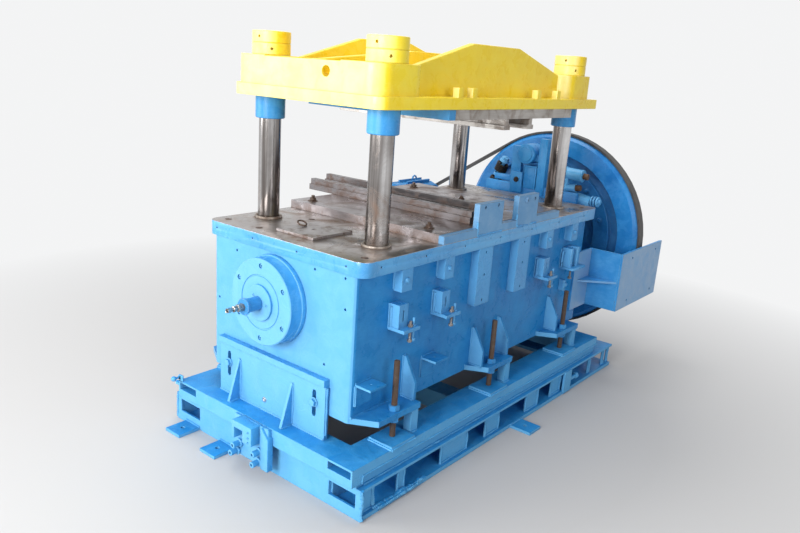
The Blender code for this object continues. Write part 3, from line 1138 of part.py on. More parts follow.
def crankshaft():
    """The shaft with its two eccentric sheaves and the clutch drum keyed to it."""
    solids = [rod("X", (0, CRANK_Z), SHAFT_RADIUS, (-NOSE_START, SHAFT_REAR)),
              rod("X", (0, CRANK_Z), NOSE_RADIUS, (-SHAFT_FRONT, -NOSE_START + WELD)),
              rod("X", (0, CRANK_Z), NOSE_RING_RADIUS, (-SHAFT_FRONT, -SHAFT_FRONT + NOSE_RING))]
    for x in ROD_XS:
        centre = (0, CRANK_Z + CRANK_THROW)
        solids.append(rod("X", centre, SHEAVE_RADIUS, (x - SHEAVE_WIDTH / 2, x + SHEAVE_WIDTH / 2)))
    inner = SHAFT_RADIUS - WELD
    web = (DRUM_END - DRUM_START) / 4
    lip = DRUM_RADIUS - web
    profile = [(inner, DRUM_START), (DRUM_HUB_RADIUS, DRUM_START), (DRUM_HUB_RADIUS, DRUM_END - web),
               (lip, DRUM_END - web), (lip, DRUM_START), (DRUM_RADIUS, DRUM_START), (DRUM_RADIUS, DRUM_END),
               (inner, DRUM_END)]
    solids.append(turned("X", (0, CRANK_Z), profile, hollow=True))
    return build("crankshaft", POLISHED_STEEL, solids)


def shaft_fitting():
    """The bright air fitting on the crankshaft's nose."""
    start = -SHAFT_FRONT - GAP
    stop = start - FITTING_LENGTH
    solids = [rod("X", (0, CRANK_Z), FITTING_NECK, (stop, start), SMALL_SIDES),
              rod("X", (0, CRANK_Z), FITTING_RADIUS, (start - FITTING_HEX_LENGTH, start), 6)]
    return build("shaft_fitting", BRIGHT_METAL, solids)


def front_bearing_cover():
    """The round cover on the housing's front, with a groove, sunk bolts and a raised cap round the shaft."""
    back = -HOUSING_FRONT - GAP
    flange, face = back - COVER_PLATE_THICKNESS, back - HUB_DEPTH
    bore = SHAFT_RADIUS + RUNNING_GAP
    nose_bore = NOSE_RADIUS + RUNNING_GAP
    cap = face - CAP_HEIGHT
    seat = -NOSE_START + RUNNING_GAP
    plug = back + HOUSING_WALL
    profile = [(bore, plug), (BEARING_BORE - GAP, plug), (BEARING_BORE - GAP, back), (COVER_PLATE_RADIUS, back),
               (COVER_PLATE_RADIUS, flange), (HUB_RADIUS, flange), (HUB_RADIUS, face),
               (HUB_GROOVE_RADIUS + HUB_GROOVE, face),
               (HUB_GROOVE_RADIUS, face + HUB_GROOVE), (HUB_GROOVE_RADIUS - HUB_GROOVE, face),
               (CAP_RADIUS, face), (CAP_RADIUS, cap), (nose_bore, cap), (nose_bore, seat - WELD),
               (bore, seat - WELD)]
    solids = [turned("X", (0, CRANK_Z), profile, FINE_SIDES, hollow=True)]
    cuts = []
    for turn in range(HUB_BOLT_COUNT):
        angle = math.tau * (turn + 0.5) / HUB_BOLT_COUNT
        centre = (HUB_BOLT_CIRCLE * math.cos(angle), CRANK_Z + HUB_BOLT_CIRCLE * math.sin(angle))
        cuts.append(rod("X", centre, HUB_BOLT_RADIUS, (face - OVERRUN, face + HUB_BOLT_DEPTH), TINY_SIDES))
    return build("front_bearing_cover", BLUE_PAINT, solids, cuts)


def rear_bearing_housing():
    back = HOUSING_REAR + GAP
    bore = SHAFT_RADIUS + RUNNING_GAP
    plug = back - HOUSING_WALL
    profile = [(bore, plug), (BEARING_BORE - GAP, plug), (BEARING_BORE - GAP, back), (REAR_FLANGE_RADIUS, back),
               (REAR_FLANGE_RADIUS, back + REAR_FLANGE_THICKNESS), (REAR_HUB_RADIUS, back + REAR_FLANGE_THICKNESS),
               (REAR_HUB_RADIUS, back + REAR_HUB_DEPTH), (bore, back + REAR_HUB_DEPTH)]
    return build("rear_bearing_housing", BLUE_PAINT, [turned("X", (0, CRANK_Z), profile, FINE_SIDES, hollow=True)])


def brake_bracket():
    """The frame behind the bed that carries the brake: a plate on two arms, two posts, a boss and a box."""
    xs = (BRACE_X, BRACE_X + BRACE_THICKNESS)
    low, top = CRANK_Z + BRACE_BOTTOM, CRANK_Z + BRACE_TOP
    solids = [block(xs, (-BRACE_NEAR, BRACE_FAR), (low, top))]
    for y, half, rise in ((BRACE_POST_Y, BRACE_POST_HALF_WIDTH, BRACE_POST_TOP),
                          (SLIM_POST_Y, SLIM_POST_HALF_WIDTH, SLIM_POST_TOP)):
        solids.append(block((xs[0] - WELD, xs[1] + WELD), (y - half, y + half), (low + WELD, CRANK_Z + rise)))
    boss = (BRACE_BOSS_Y, CRANK_Z + BRACE_BOSS_RISE)
    solids.append(rod("X", boss, BRACE_BOSS_RADIUS, (xs[0], xs[0] + BRACE_BOSS_DEPTH)))
    between = (BRACE_POST_Y, SLIM_POST_Y)
    beam = (boss[1] - BRACE_BEAM_HEIGHT / 2, boss[1] + BRACE_BEAM_HEIGHT / 2)
    solids.append(block((xs[0] + WELD, xs[1] - WELD), between, beam))
    box = (BRACE_POST_Y + BRACE_POST_HALF_WIDTH - WELD, SLIM_POST_Y - SLIM_POST_HALF_WIDTH)
    solids.append(block((xs[0] - WELD / 2, xs[0] + BRACE_BOX_DEPTH), box, (low + 2 * WELD, CRANK_Z + BRACE_BOX_TOP)))
    arm_top = BED_BOTTOM - GAP
    for edge, way in ((-BRACE_NEAR, 1), (BRACE_FAR, -1)):
        ys = ordered(edge, edge + way * BRACE_ARM_THICKNESS)
        solids.append(block((HOUSING_REAR + GAP, xs[0] + WELD), ys, (arm_top - BRACE_ARM_HEIGHT, arm_top)))
    solids += brake_springs() + brake_cylinders()
    return build("brake_bracket", BLUE_PAINT, solids)


def brake_springs():
    """A tilted rod with two springs, drawn as ridged barrels, and the collars that hold them."""
    z = CRANK_Z + STACK_RISE
    x = BRACE_X + BRACE_THICKNESS + SPRING_RADIUS - 2 * WELD
    parts = [rod("Z", (x, STACK_Y), STACK_ROD_RADIUS, (z - STACK_LENGTH / 2, z + STACK_LENGTH / 2), SMALL_SIDES)]
    pitch = SPRING_LENGTH / SPRING_COILS
    for share in SPRING_SHARES:
        start = z + share * STACK_LENGTH - SPRING_LENGTH / 2
        profile = [(SPRING_RADIUS - SPRING_GROOVE, start)]
        for coil in range(SPRING_COILS):
            profile += [(SPRING_RADIUS, start + (coil + 0.5) * pitch),
                        (SPRING_RADIUS - SPRING_GROOVE, start + (coil + 1) * pitch)]
        parts.append(turned("Z", (x, STACK_Y), profile, SMALL_SIDES))
        collar = start + SPRING_LENGTH - WELD
        span = (collar, collar + SPRING_LENGTH * COLLAR_SHARE)
        parts.append(rod("Z", (x, STACK_Y), SPRING_RADIUS * COLLAR_SHARE, span, SMALL_SIDES))
    for piece in parts:
        tilt_about(piece, STACK_Y, z, STACK_TILT)
    parts.append(block((BRACE_X + WELD, x), (SLIM_POST_Y, STACK_Y), (z - BRACE_BEAM_HEIGHT, z)))
    return parts


def brake_cylinders():
    """Two tilted air cylinders with a cap on each outer end, on arms from the tall post."""
    made = []
    for y, rise in CYLINDER_PLACES:
        z = CRANK_Z + rise
        x = BRACE_X + BRACE_THICKNESS + CYLINDER_RADIUS / 2
        half = CYLINDER_LENGTH / 2
        parts = [rod("Y", (z, x), CYLINDER_RADIUS, (y - half, y + half)),
                 rod("Y", (z, x), CYLINDER_CAP_RADIUS, (y - half - CYLINDER_CAP_LENGTH, y - half + WELD))]
        for piece in parts:
            tilt_about(piece, y, z, CYLINDER_TILT)
        level = z + half * math.sin(CYLINDER_TILT)
        parts.append(block((BRACE_X + WELD, x), (y + half / 2, BRACE_POST_Y),
                           (level - BRACE_BEAM_HEIGHT / 2, level + BRACE_BEAM_HEIGHT / 2)))
        made += parts
    return made


def flywheel():
    """The wheel: a bevelled rim for the belt, a stepped face, a bolted clutch ring, a web and a hub."""
    front, back = WHEEL_X, WHEEL_X + WHEEL_WIDTH
    web_back = WHEEL_X + WHEEL_WEB_STEP + WHEEL_WEB
    inner = WHEEL_RADIUS - WHEEL_BEVEL - RIM_DEPTH
    bore = SHAFT_RADIUS + RUNNING_GAP
    ring_face = front + RIM_LEDGE_STEP - CLUTCH_RING_PROUD
    web_face = front + WHEEL_WEB_STEP
    hub_back = WHEEL_X + WHEEL_HUB_END
    profile = [(bore, front), (WHEEL_HUB_RADIUS, front), (WHEEL_HUB_RADIUS, web_face), (CLUTCH_RING_INNER, web_face),
               (CLUTCH_RING_INNER, ring_face), (CLUTCH_RING_OUTER, ring_face),
               (CLUTCH_RING_OUTER, front + RIM_LEDGE_STEP), (inner, front + RIM_LEDGE_STEP), (inner, front),
               (WHEEL_RADIUS - WHEEL_BEVEL, front), (WHEEL_RADIUS, front + WHEEL_BEVEL / 2), (WHEEL_RADIUS, back),
               (inner, back), (inner, web_back), (WHEEL_HUB_RADIUS, web_back), (WHEEL_HUB_RADIUS, hub_back),
               (bore, hub_back)]
    return build("flywheel", BLUE_PAINT, [turned("X", (0, CRANK_Z), profile, FINE_SIDES, hollow=True)])


def motor_pulley():
    """The motor's shaft and its belt pulley."""
    middle = BELT_MIDDLE
    half = BELT_WIDTH / 2 + PULLEY_RIM
    start, stop = middle - half, middle + half
    edge = PULLEY_RADIUS + PULLEY_RIM / 2
    profile = [(PULLEY_SHAFT_RADIUS, MOTOR_START + MOTOR_LENGTH - PULLEY_SHAFT_BACK), (PULLEY_SHAFT_RADIUS, start),
               (edge, start), (edge, start + PULLEY_RIM / 2), (PULLEY_RADIUS, start + PULLEY_RIM / 2),
               (PULLEY_RADIUS, stop - PULLEY_RIM / 2), (edge, stop - PULLEY_RIM / 2), (edge, stop)]
    return build("motor_pulley", CAST_IRON, [turned("X", (MOTOR_Y, CRANK_Z), profile)])


def drive_belt():
    """The belt, an open loop round the flywheel and the motor pulley."""
    middle = BELT_MIDDLE
    span = (middle - BELT_WIDTH / 2, middle + BELT_WIDTH / 2)
    inner = belt_outline(WHEEL_RADIUS + RUNNING_GAP, PULLEY_RADIUS + RUNNING_GAP)
    outer = belt_outline(WHEEL_RADIUS + RUNNING_GAP + BELT_THICKNESS, PULLEY_RADIUS + RUNNING_GAP + BELT_THICKNESS)
    bm = bmesh.new()
    loops = [[bm.verts.new(point("X", along, *spot)) for spot in path] for path in (inner, outer) for along in span]
    inner_start, inner_stop, outer_start, outer_stop = loops
    for a, b in ((inner_start, inner_stop), (inner_stop, outer_stop), (outer_stop, outer_start),
                 (outer_start, inner_start)):
        for i in range(len(a)):
            j = (i + 1) % len(a)
            bm.faces.new((a[i], a[j], b[j], b[i]))
    return build("drive_belt", RUBBER, [shape(bm)])


def belt_outline(wheel, pulley):
    """The path round both pulleys, drawn outside their facets."""
    lean = math.asin((wheel - pulley) / MOTOR_Y)
    first = math.pi / 2 - lean
    outline = []
    for centre, radius, start, turn, steps in ((0.0, wheel, first, math.tau - 2 * first, FINE_SIDES),
                                               (MOTOR_Y, pulley, -first, 2 * first, SMALL_SIDES)):
        grown = radius / math.cos(turn / steps / 2)
        for step in range(steps + 1):
            angle = start + turn * step / steps
            outline.append((centre + grown * math.cos(angle), CRANK_Z + grown * math.sin(angle)))
    return outline


def motor():
    """The finned motor: frame, cowl, feet, connection box and lifting eye."""
    start, stop = MOTOR_START, MOTOR_START + MOTOR_LENGTH
    centre = (MOTOR_Y, CRANK_Z)
    solids = [rod("X", centre, MOTOR_RADIUS, (start, stop)),
              rod("X", centre, MOTOR_COWL_RADIUS, (start - MOTOR_COWL_LENGTH, start + WELD))]
    for fin in range(MOTOR_FIN_COUNT):
        angle = math.tau * (fin + 0.5) / MOTOR_FIN_COUNT
        made = block((start + MOTOR_FIN_END, stop - MOTOR_FIN_END),
                     (MOTOR_Y + MOTOR_RADIUS - MOTOR_FIN_WIDTH, MOTOR_Y + MOTOR_RADIUS + MOTOR_FIN_HEIGHT),
                     (CRANK_Z - MOTOR_FIN_WIDTH / 2, CRANK_Z + MOTOR_FIN_WIDTH / 2))
        tilt_about(made, *centre, angle)
        solids.append(made)
    feet_top = CRANK_Z - MOTOR_FOOT_HEIGHT + MOTOR_FOOT_THICKNESS
    feet = (CRANK_Z - MOTOR_FOOT_HEIGHT, feet_top)
    for way in (-1, 1):
        outer = MOTOR_Y + way * MOTOR_FOOT_HALF_SPAN
        ys = ordered(outer, outer - way * MOTOR_FOOT_WIDTH)
        solids.append(block((start + MOTOR_FIN_END, stop - MOTOR_FIN_END), ys, feet))
        leg = ordered(outer - way * MOTOR_FOOT_WIDTH / 2, outer - way * MOTOR_FOOT_WIDTH)
        solids.append(block((start + MOTOR_FIN_END, stop - MOTOR_FIN_END), leg,
                            (feet[0] + WELD, CRANK_Z - MOTOR_RADIUS / 2)))
    middle = (start + stop) / 2
    half = MOTOR_BOX / 2
    box_start = MOTOR_Y + MOTOR_RADIUS - MOTOR_FIN_HEIGHT
    solids.append(block((middle - half, middle + half), (box_start, box_start + MOTOR_BOX_HEIGHT + MOTOR_FIN_HEIGHT),
                        (CRANK_Z - half, CRANK_Z + half)))
    eye_z = CRANK_Z + MOTOR_RADIUS + MOTOR_EYE_RADIUS
    solids.append(ring_bar("Y", (eye_z, middle), MOTOR_Y, MOTOR_EYE_RADIUS, MOTOR_EYE_BAR))
    cuts = [rod("X", centre, PULLEY_SHAFT_RADIUS + RUNNING_GAP, (stop - PULLEY_SHAFT_BACK - OVERRUN, stop + OVERRUN))]
    return build("motor", BLUE_PAINT, solids, cuts)


def motor_bracket():
    """The plate under the motor, on two arms from the housing's far wall."""
    top = CRANK_Z - MOTOR_FOOT_HEIGHT - GAP
    start, stop = MOTOR_START, MOTOR_START + MOTOR_LENGTH
    solids = [block((start, stop), (MOTOR_Y - MOTOR_PLATE_HALF_WIDTH, MOTOR_Y + MOTOR_PLATE_HALF_WIDTH),
                    (top - MOTOR_PLATE_THICKNESS, top))]
    low = top - MOTOR_PLATE_THICKNESS - MOTOR_ARM_DEPTH
    wall = FAR_WALL + GAP
    beam = (HOUSING_REAR - MOTOR_ARM_BACK, stop)
    solids.append(block(beam, (wall, wall + MOTOR_ARM_WIDTH), (low, top - WELD)))
    for x in (start, stop - MOTOR_ARM_WIDTH):
        solids.append(block((x, x + MOTOR_ARM_WIDTH), (wall + WELD, MOTOR_Y + MOTOR_PLATE_HALF_WIDTH - WELD),
                            (low + WELD, top - MOTOR_PLATE_THICKNESS + WELD)))
    return build("motor_bracket", BLUE_PAINT, solids)


def rear_box_bracket():
    """The folded bracket at the rear of the near side: a plate on the wall, one across, and one past the wheel."""
    top = CRANK_Z + BOX_TOP
    zs = (top - BOX_HEIGHT, top)
    back = NEAR_WALL - GAP
    outer = BOX_OUTER_Y
    solids = [block((BOX_INNER_START, BOX_CORNER_X + BOX_PLATE), (back - BOX_PLATE, back), zs),
              block((BOX_CORNER_X, BOX_CORNER_X + BOX_PLATE), (outer, back - WELD / 2), zs),
              block((BOX_CORNER_X + WELD / 2, BOX_OUTER_END), (outer - BOX_PLATE, outer + WELD / 2), zs)]
    level = top - BOX_GUSSET_DROP
    gusset = [(BOX_CORNER_X + WELD, back - WELD), (BOX_CORNER_X - BOX_GUSSET_REACH, back - WELD),
              (BOX_CORNER_X + WELD, outer)]
    solids.append(slab("Z", gusset, (level, level + BOX_PLATE)))
    cuts = []
    for along in BOX_HOLE_ALONG_SHARES:
        x = BOX_CORNER_X + along * BOX_OUTER_LENGTH
        for up in BOX_HOLE_UP_SHARES:
            hole = (zs[0] + up * BOX_HEIGHT, x)
            cuts.append(rod("Y", hole, BOX_HOLE, (outer - BOX_PLATE - OVERRUN, outer + OVERRUN), TINY_SIDES))
    return build("rear_box_bracket", BLUE_PAINT, solids, cuts)


def axis_empty(name, place):
    made = bpy.data.objects.new(name, None)
    made.location = place
    bpy.context.scene.collection.objects.link(made)
    return made


def carry(empty, pieces):
    """Hangs pieces on the empty at their joint's axis, leaving them where they are."""
    bpy.context.view_layer.update()
    for piece in pieces:
        piece.parent = empty
        piece.matrix_parent_inverse = empty.matrix_world.inverted()


def main():
    clear_scene()
    lower_base_frame()
    upper_base_frame()
    housing()
    front_support_plate()
    front_clamp_bracket()
    bed_plate()
    bolster_plate()
    loose_cover_plate()
    for number, (x, start) in enumerate(zip(LOWER_RAIL_XS, LOWER_RAIL_START_YS), 1):
        lower_die_rail(number, x, start)
    number = 0
    for wall, out in sides_of_body(HOUSING_HALF_WIDTH):
        for x in STATION_XS:
            number += 1
            levelling_stud(number, x, wall, out)
    for number, x in enumerate(POST_XS, 1):
        side_post(number, x)
    side_bar()
    for number, x in enumerate(BRACKET_XS, 1):
        upper_side_bracket(number, x)
        lower_side_bracket(number, x)
    front_bearing_cover()
    rear_bearing_housing()
    brake_bracket()
    rear_box_bracket()
    motor()
    motor_bracket()
    drive_belt()

    slide = [upper_platen(), upper_die_plate(), die_spacer(), lower_crosshead()]
    slide += [connecting_rod(number, x) for number, x in enumerate(ROD_XS, 1)]
    number = 0
    for x in PILLAR_XS:
        for y in PILLAR_YS:
            number += 1
            guide_bushing(number, x, y)
            slide += [pillar(number, x, y), pillar_collar(number, x, y), pillar_nut(number, x, y)]
    carry(axis_empty("slide_axis", (0, 0, BED_TOP)), slide)
    carry(axis_empty("crank_axis", (0, 0, CRANK_Z)), [crankshaft(), shaft_fitting()])
    carry(axis_empty("flywheel_axis", (WHEEL_X, 0, CRANK_Z)), [flywheel()])
    carry(axis_empty("motor_axis", (MOTOR_START, MOTOR_Y, CRANK_Z)), [motor_pulley()])


main()
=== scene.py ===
import math

import bmesh
import bpy
from mathutils import Matrix, Vector


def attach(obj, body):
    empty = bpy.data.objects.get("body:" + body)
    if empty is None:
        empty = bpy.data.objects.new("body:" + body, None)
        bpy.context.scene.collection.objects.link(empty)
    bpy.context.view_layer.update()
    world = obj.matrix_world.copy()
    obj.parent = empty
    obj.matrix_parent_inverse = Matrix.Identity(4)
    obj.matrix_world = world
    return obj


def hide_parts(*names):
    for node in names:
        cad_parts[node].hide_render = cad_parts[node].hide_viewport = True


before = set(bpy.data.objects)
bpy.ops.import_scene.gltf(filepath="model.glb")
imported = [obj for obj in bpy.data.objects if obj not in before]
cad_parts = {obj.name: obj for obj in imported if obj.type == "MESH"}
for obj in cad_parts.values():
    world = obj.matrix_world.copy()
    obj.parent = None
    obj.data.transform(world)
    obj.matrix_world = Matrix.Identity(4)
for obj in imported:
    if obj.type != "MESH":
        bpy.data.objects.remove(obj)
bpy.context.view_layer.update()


# Lower base frame. The real one is two heavy channels laid on the floor, open to the outside, with end
# beams, a tie across the middle and drilled floor lugs. It is welded from cut plate by hand, and one
# blue enamel is brushed over plate, slag and weld alike.

def node(tree, kind, inputs=(), **settings):
    """A node with its settings, and each input set, or linked where its value is another node's socket."""
    made = tree.nodes.new(kind)
    for key, value in settings.items():
        setattr(made, key, value)
    for key, value in dict(inputs).items():
        if isinstance(value, bpy.types.NodeSocket):
            tree.links.new(value, made.inputs[key])
        else:
            made.inputs[key].default_value = value
    return made


def sums(tree, operation, first, second=0.0, clamp=False):
    """The result of a Math node."""
    return node(tree, "ShaderNodeMath", {0: first, 1: second}, operation=operation,
                use_clamp=clamp).outputs[0]


def between(tree, share, first, second):
    """The colour a share of the way from the first to the second."""
    mix = node(tree, "ShaderNodeMix", {0: share, 6: first, 7: second}, data_type="RGBA")
    return mix.outputs[2]


def stretch(tree, value, low, high, to_low=0.0, to_high=1.0):
    """A value moved from one range to another, and held there."""
    inputs = {0: value, 1: low, 2: high, 3: to_low, 4: to_high}
    return node(tree, "ShaderNodeMapRange", inputs).outputs[0]


def noise(tree, place, scale, detail=4.0, roughness=0.5, distortion=0.0):
    inputs = {"Vector": place, "Scale": scale, "Detail": detail, "Roughness": roughness,
              "Distortion": distortion}
    return node(tree, "ShaderNodeTexNoise", inputs).outputs["Fac"]


def sockets(tree, inputs, outputs):
    """Names the sockets of a new node group and returns its input node's outputs."""
    for label, kind, value in inputs:
        made = tree.interface.new_socket(label, in_out="INPUT", socket_type=kind)
        if value is not None:
            made.default_value = value
    for label, kind in outputs:
        tree.interface.new_socket(label, in_out="OUTPUT", socket_type=kind)
    return tree.nodes.new("NodeGroupInput").outputs


COLOUR, VALUE, DIRECTION = "NodeSocketColor", "NodeSocketFloat", "NodeSocketVector"


def edges_group():
    """Finds a piece's outer edges and its inner corners, and rounds the light on both. The corner value
    measures how shut in a spot is; the finishes use it to paint shade in inner corners.
    """
    tree = bpy.data.node_groups.new("edges and corners", "ShaderNodeTree")
    given = sockets(tree, [("Reach", VALUE, 0.004), ("Corner Reach", VALUE, 0.035)],
                    [("Edge", VALUE), ("Corner Shade", VALUE), ("Normal", DIRECTION)])
    rounded = node(tree, "ShaderNodeBevel", {"Radius": given["Reach"]}, samples=4).outputs["Normal"]
    flat = node(tree, "ShaderNodeNewGeometry").outputs["Normal"]
    agree = node(tree, "ShaderNodeVectorMath", {0: rounded, 1: flat},
                 operation="DOT_PRODUCT").outputs["Value"]
    open_air = node(tree, "ShaderNodeAmbientOcclusion", {"Distance": given["Corner Reach"]},
                    samples=4).outputs["AO"]
    corner = stretch(tree, open_air, 0.95, 0.4)
    turned_away = stretch(tree, agree, 0.995, 0.8)
    edge = sums(tree, "MULTIPLY", turned_away, sums(tree, "SUBTRACT", 1.0, corner, clamp=True))
    node(tree, "NodeGroupOutput", {"Edge": edge, "Corner Shade": corner, "Normal": rounded})
    return tree


EDGES = edges_group()


def enamel_group():
    """Brushed enamel: cloudy tone, brush marks, chips that start at edges, a painted highlight along edges,
    and dirt with painted shade in inner corners.
    """
    tree = bpy.data.node_groups.new("brushed enamel", "ShaderNodeTree")
    given = sockets(tree, [
        ("Paint", COLOUR, None), ("Deep", COLOUR, None), ("Pale", COLOUR, None), ("Under", COLOUR, None),
        ("Dirt And Shade Colour", COLOUR, None), ("Wear", VALUE, 0.3), ("Dirt And Shade", VALUE, 0.3), ("Gloss", VALUE, 0.3),
        ("Edge", VALUE, 0.0), ("Corner Shade", VALUE, 0.0), ("Brush Height", VALUE, 0.5)],
        [("Colour", COLOUR), ("Roughness", VALUE), ("Height", VALUE), ("Bare", VALUE)])
    place = node(tree, "ShaderNodeTexCoord").outputs["Object"]
    cloud = stretch(tree, noise(tree, place, 2.2, 6.0, 0.6), 0.34, 0.66)
    patch = stretch(tree, noise(tree, place, 14.0, 5.0, 0.62, 0.6), 0.38, 0.7)
    along = node(tree, "ShaderNodeMapping", {"Vector": place, "Scale": (26.0, 26.0, 240.0)}).outputs[0]
    down = node(tree, "ShaderNodeMapping", {"Vector": place, "Scale": (34.0, 34.0, 1.6)}).outputs[0]
    strokes = noise(tree, along, 1.0, 3.0)
    runs = stretch(tree, noise(tree, down, 1.0, 4.0, 0.6), 0.5, 0.78)
    fine = noise(tree, place, 170.0, 2.0)
    tone = between(tree, cloud, given["Deep"], given["Paint"])
    lift = sums(tree, "MULTIPLY", sums(tree, "MULTIPLY", patch, strokes), 0.75)
    tone = between(tree, lift, tone, given["Pale"])
    # Painted highlight: outer edges are blended toward the pale tone.
    tone = between(tree, sums(tree, "MULTIPLY", given["Edge"], 0.6), tone, given["Pale"])
    chips = noise(tree, place, 60.0, 6.0, 0.68, 0.3)
    scuffs = noise(tree, place, 7.0, 3.0, 0.55)
    ease = sums(tree, "ADD", sums(tree, "MULTIPLY", given["Edge"], 0.34),
                sums(tree, "MULTIPLY", scuffs, 0.16))
    worn = sums(tree, "MULTIPLY", given["Wear"], 2.0)
    limit = sums(tree, "SUBTRACT", 0.86, sums(tree, "MULTIPLY", ease, worn))
    over = sums(tree, "SUBTRACT", chips, limit)
    bare = stretch(tree, over, 0.0, 0.02)
    rim = stretch(tree, over, -0.03, 0.01)
    # Painted shade: inner corners, found by occlusion, darken toward the dirt colour, together with real dirt
    # runs down the faces.
    dust = sums(tree, "ADD", sums(tree, "MULTIPLY", given["Corner Shade"], 0.8), sums(tree, "MULTIPLY", runs, 0.35))
    dust = sums(tree, "MULTIPLY", dust, sums(tree, "MULTIPLY", given["Dirt And Shade"],
                                             stretch(tree, chips, 0.3, 0.65)), clamp=True)
    tone = between(tree, dust, tone, given["Dirt And Shade Colour"])
    tone = between(tree, sums(tree, "MULTIPLY", rim, 0.5), tone, given["Deep"])
    tone = between(tree, bare, tone, given["Under"])
    rough = sums(tree, "ADD", given["Gloss"], sums(tree, "MULTIPLY", patch, 0.16))
    rough = sums(tree, "ADD", rough, sums(tree, "MULTIPLY", sums(tree, "ADD", bare, dust), 0.3), clamp=True)
    height = sums(tree, "MULTIPLY", sums(tree, "ADD", sums(tree, "MULTIPLY", strokes, 0.6), patch),
                  given["Brush Height"])
    height = sums(tree, "ADD", height, sums(tree, "MULTIPLY", fine, 0.12))
    height = sums(tree, "SUBTRACT", height, sums(tree, "MULTIPLY", bare, 0.5))
    node(tree, "NodeGroupOutput", {"Colour": tone, "Roughness": rough, "Height": height, "Bare": bare})
    return tree


ENAMEL = enamel_group()


def blank(name):
    """A new material, its node tree and its shader."""
    made = bpy.data.materials.new(name)
    made.use_nodes = True
    return made, made.node_tree, made.node_tree.nodes["Principled BSDF"]


def feed(tree, shader, links):
    """Links each output to the shader's socket of that name."""
    for key, value in links.items():
        tree.links.new(value, shader.inputs[key])


def paint(name, colour, deep, pale, wear=0.3, dirt_and_shade=0.3, gloss=0.26, reach=0.004, under=(0.11, 0.075, 0.055),
          dirt_and_shade_colour=(0.05, 0.045, 0.04), brush=0.5, depth=0.0012, sheen=0.25, lit_side_tone=None,
          facing=(-1, 0, 0)):
    """A brushed enamel on steel, with its own tones, wear, dirt and painted shade, and painted light on one
    side.
    """
    made, tree, shader = blank(name)
    edges = node(tree, "ShaderNodeGroup", {"Reach": reach}, node_tree=EDGES).outputs
    coatings = {"Paint": (*colour, 1), "Deep": (*deep, 1), "Pale": (*pale, 1), "Under": (*under, 1),
                "Dirt And Shade Colour": (*dirt_and_shade_colour, 1), "Wear": wear, "Dirt And Shade": dirt_and_shade, "Gloss": gloss,
                "Edge": edges["Edge"], "Corner Shade": edges["Corner Shade"], "Brush Height": brush}
    coats = node(tree, "ShaderNodeGroup", coatings, node_tree=ENAMEL).outputs
    bump = node(tree, "ShaderNodeBump", {"Height": coats["Height"], "Distance": depth, "Strength": 1.0,
                                         "Normal": edges["Normal"]})
    tone = coats["Colour"]
    # Painted light: faces turned toward `facing` are blended to the paler lit-side tone, less where the paint
    # is rough.
    if lit_side_tone:
        side = node(tree, "ShaderNodeTexCoord").outputs["Normal"]
        turned_to = node(tree, "ShaderNodeVectorMath", {0: side, 1: facing},
                         operation="DOT_PRODUCT").outputs["Value"]
        kept = stretch(tree, coats["Roughness"], gloss, gloss + 0.3, 0.85, 0.35)
        share = sums(tree, "MULTIPLY", stretch(tree, turned_to, 0.4, 0.72), kept)
        tone = between(tree, share, tone, (*lit_side_tone, 1))
    feed(tree, shader, {"Base Color": tone, "Roughness": coats["Roughness"],
                        "Normal": bump.outputs["Normal"]})
    shader.inputs["Specular IOR Level"].default_value = sheen
    return made


def dress(finish, *names):
    """Gives CAD nodes a finish in their own material slots."""
    for name in names:
        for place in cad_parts[name].material_slots:
            place.material = finish


LOWER_NEAR, LOWER_FAR = -0.595, 0.604
LOWER_FRONT, LOWER_REAR, LOWER_TOP, FOOT = -1.06, 1.25, 0.137, 0.02
# Painted light: its faces toward the lit side take a paler tone.
base_blue = paint("base blue enamel", (0.026, 0.27, 0.63), (0.017, 0.205, 0.53), (0.09, 0.41, 0.76),
                  wear=0.35, dirt_and_shade=0.3, gloss=0.3, brush=0.8, depth=0.002, sheen=0.12,
                  lit_side_tone=(0.15, 0.44, 0.71), facing=(-0.76, -0.65, 0))
dress(base_blue, "lower_base_frame", "upper_base_frame")


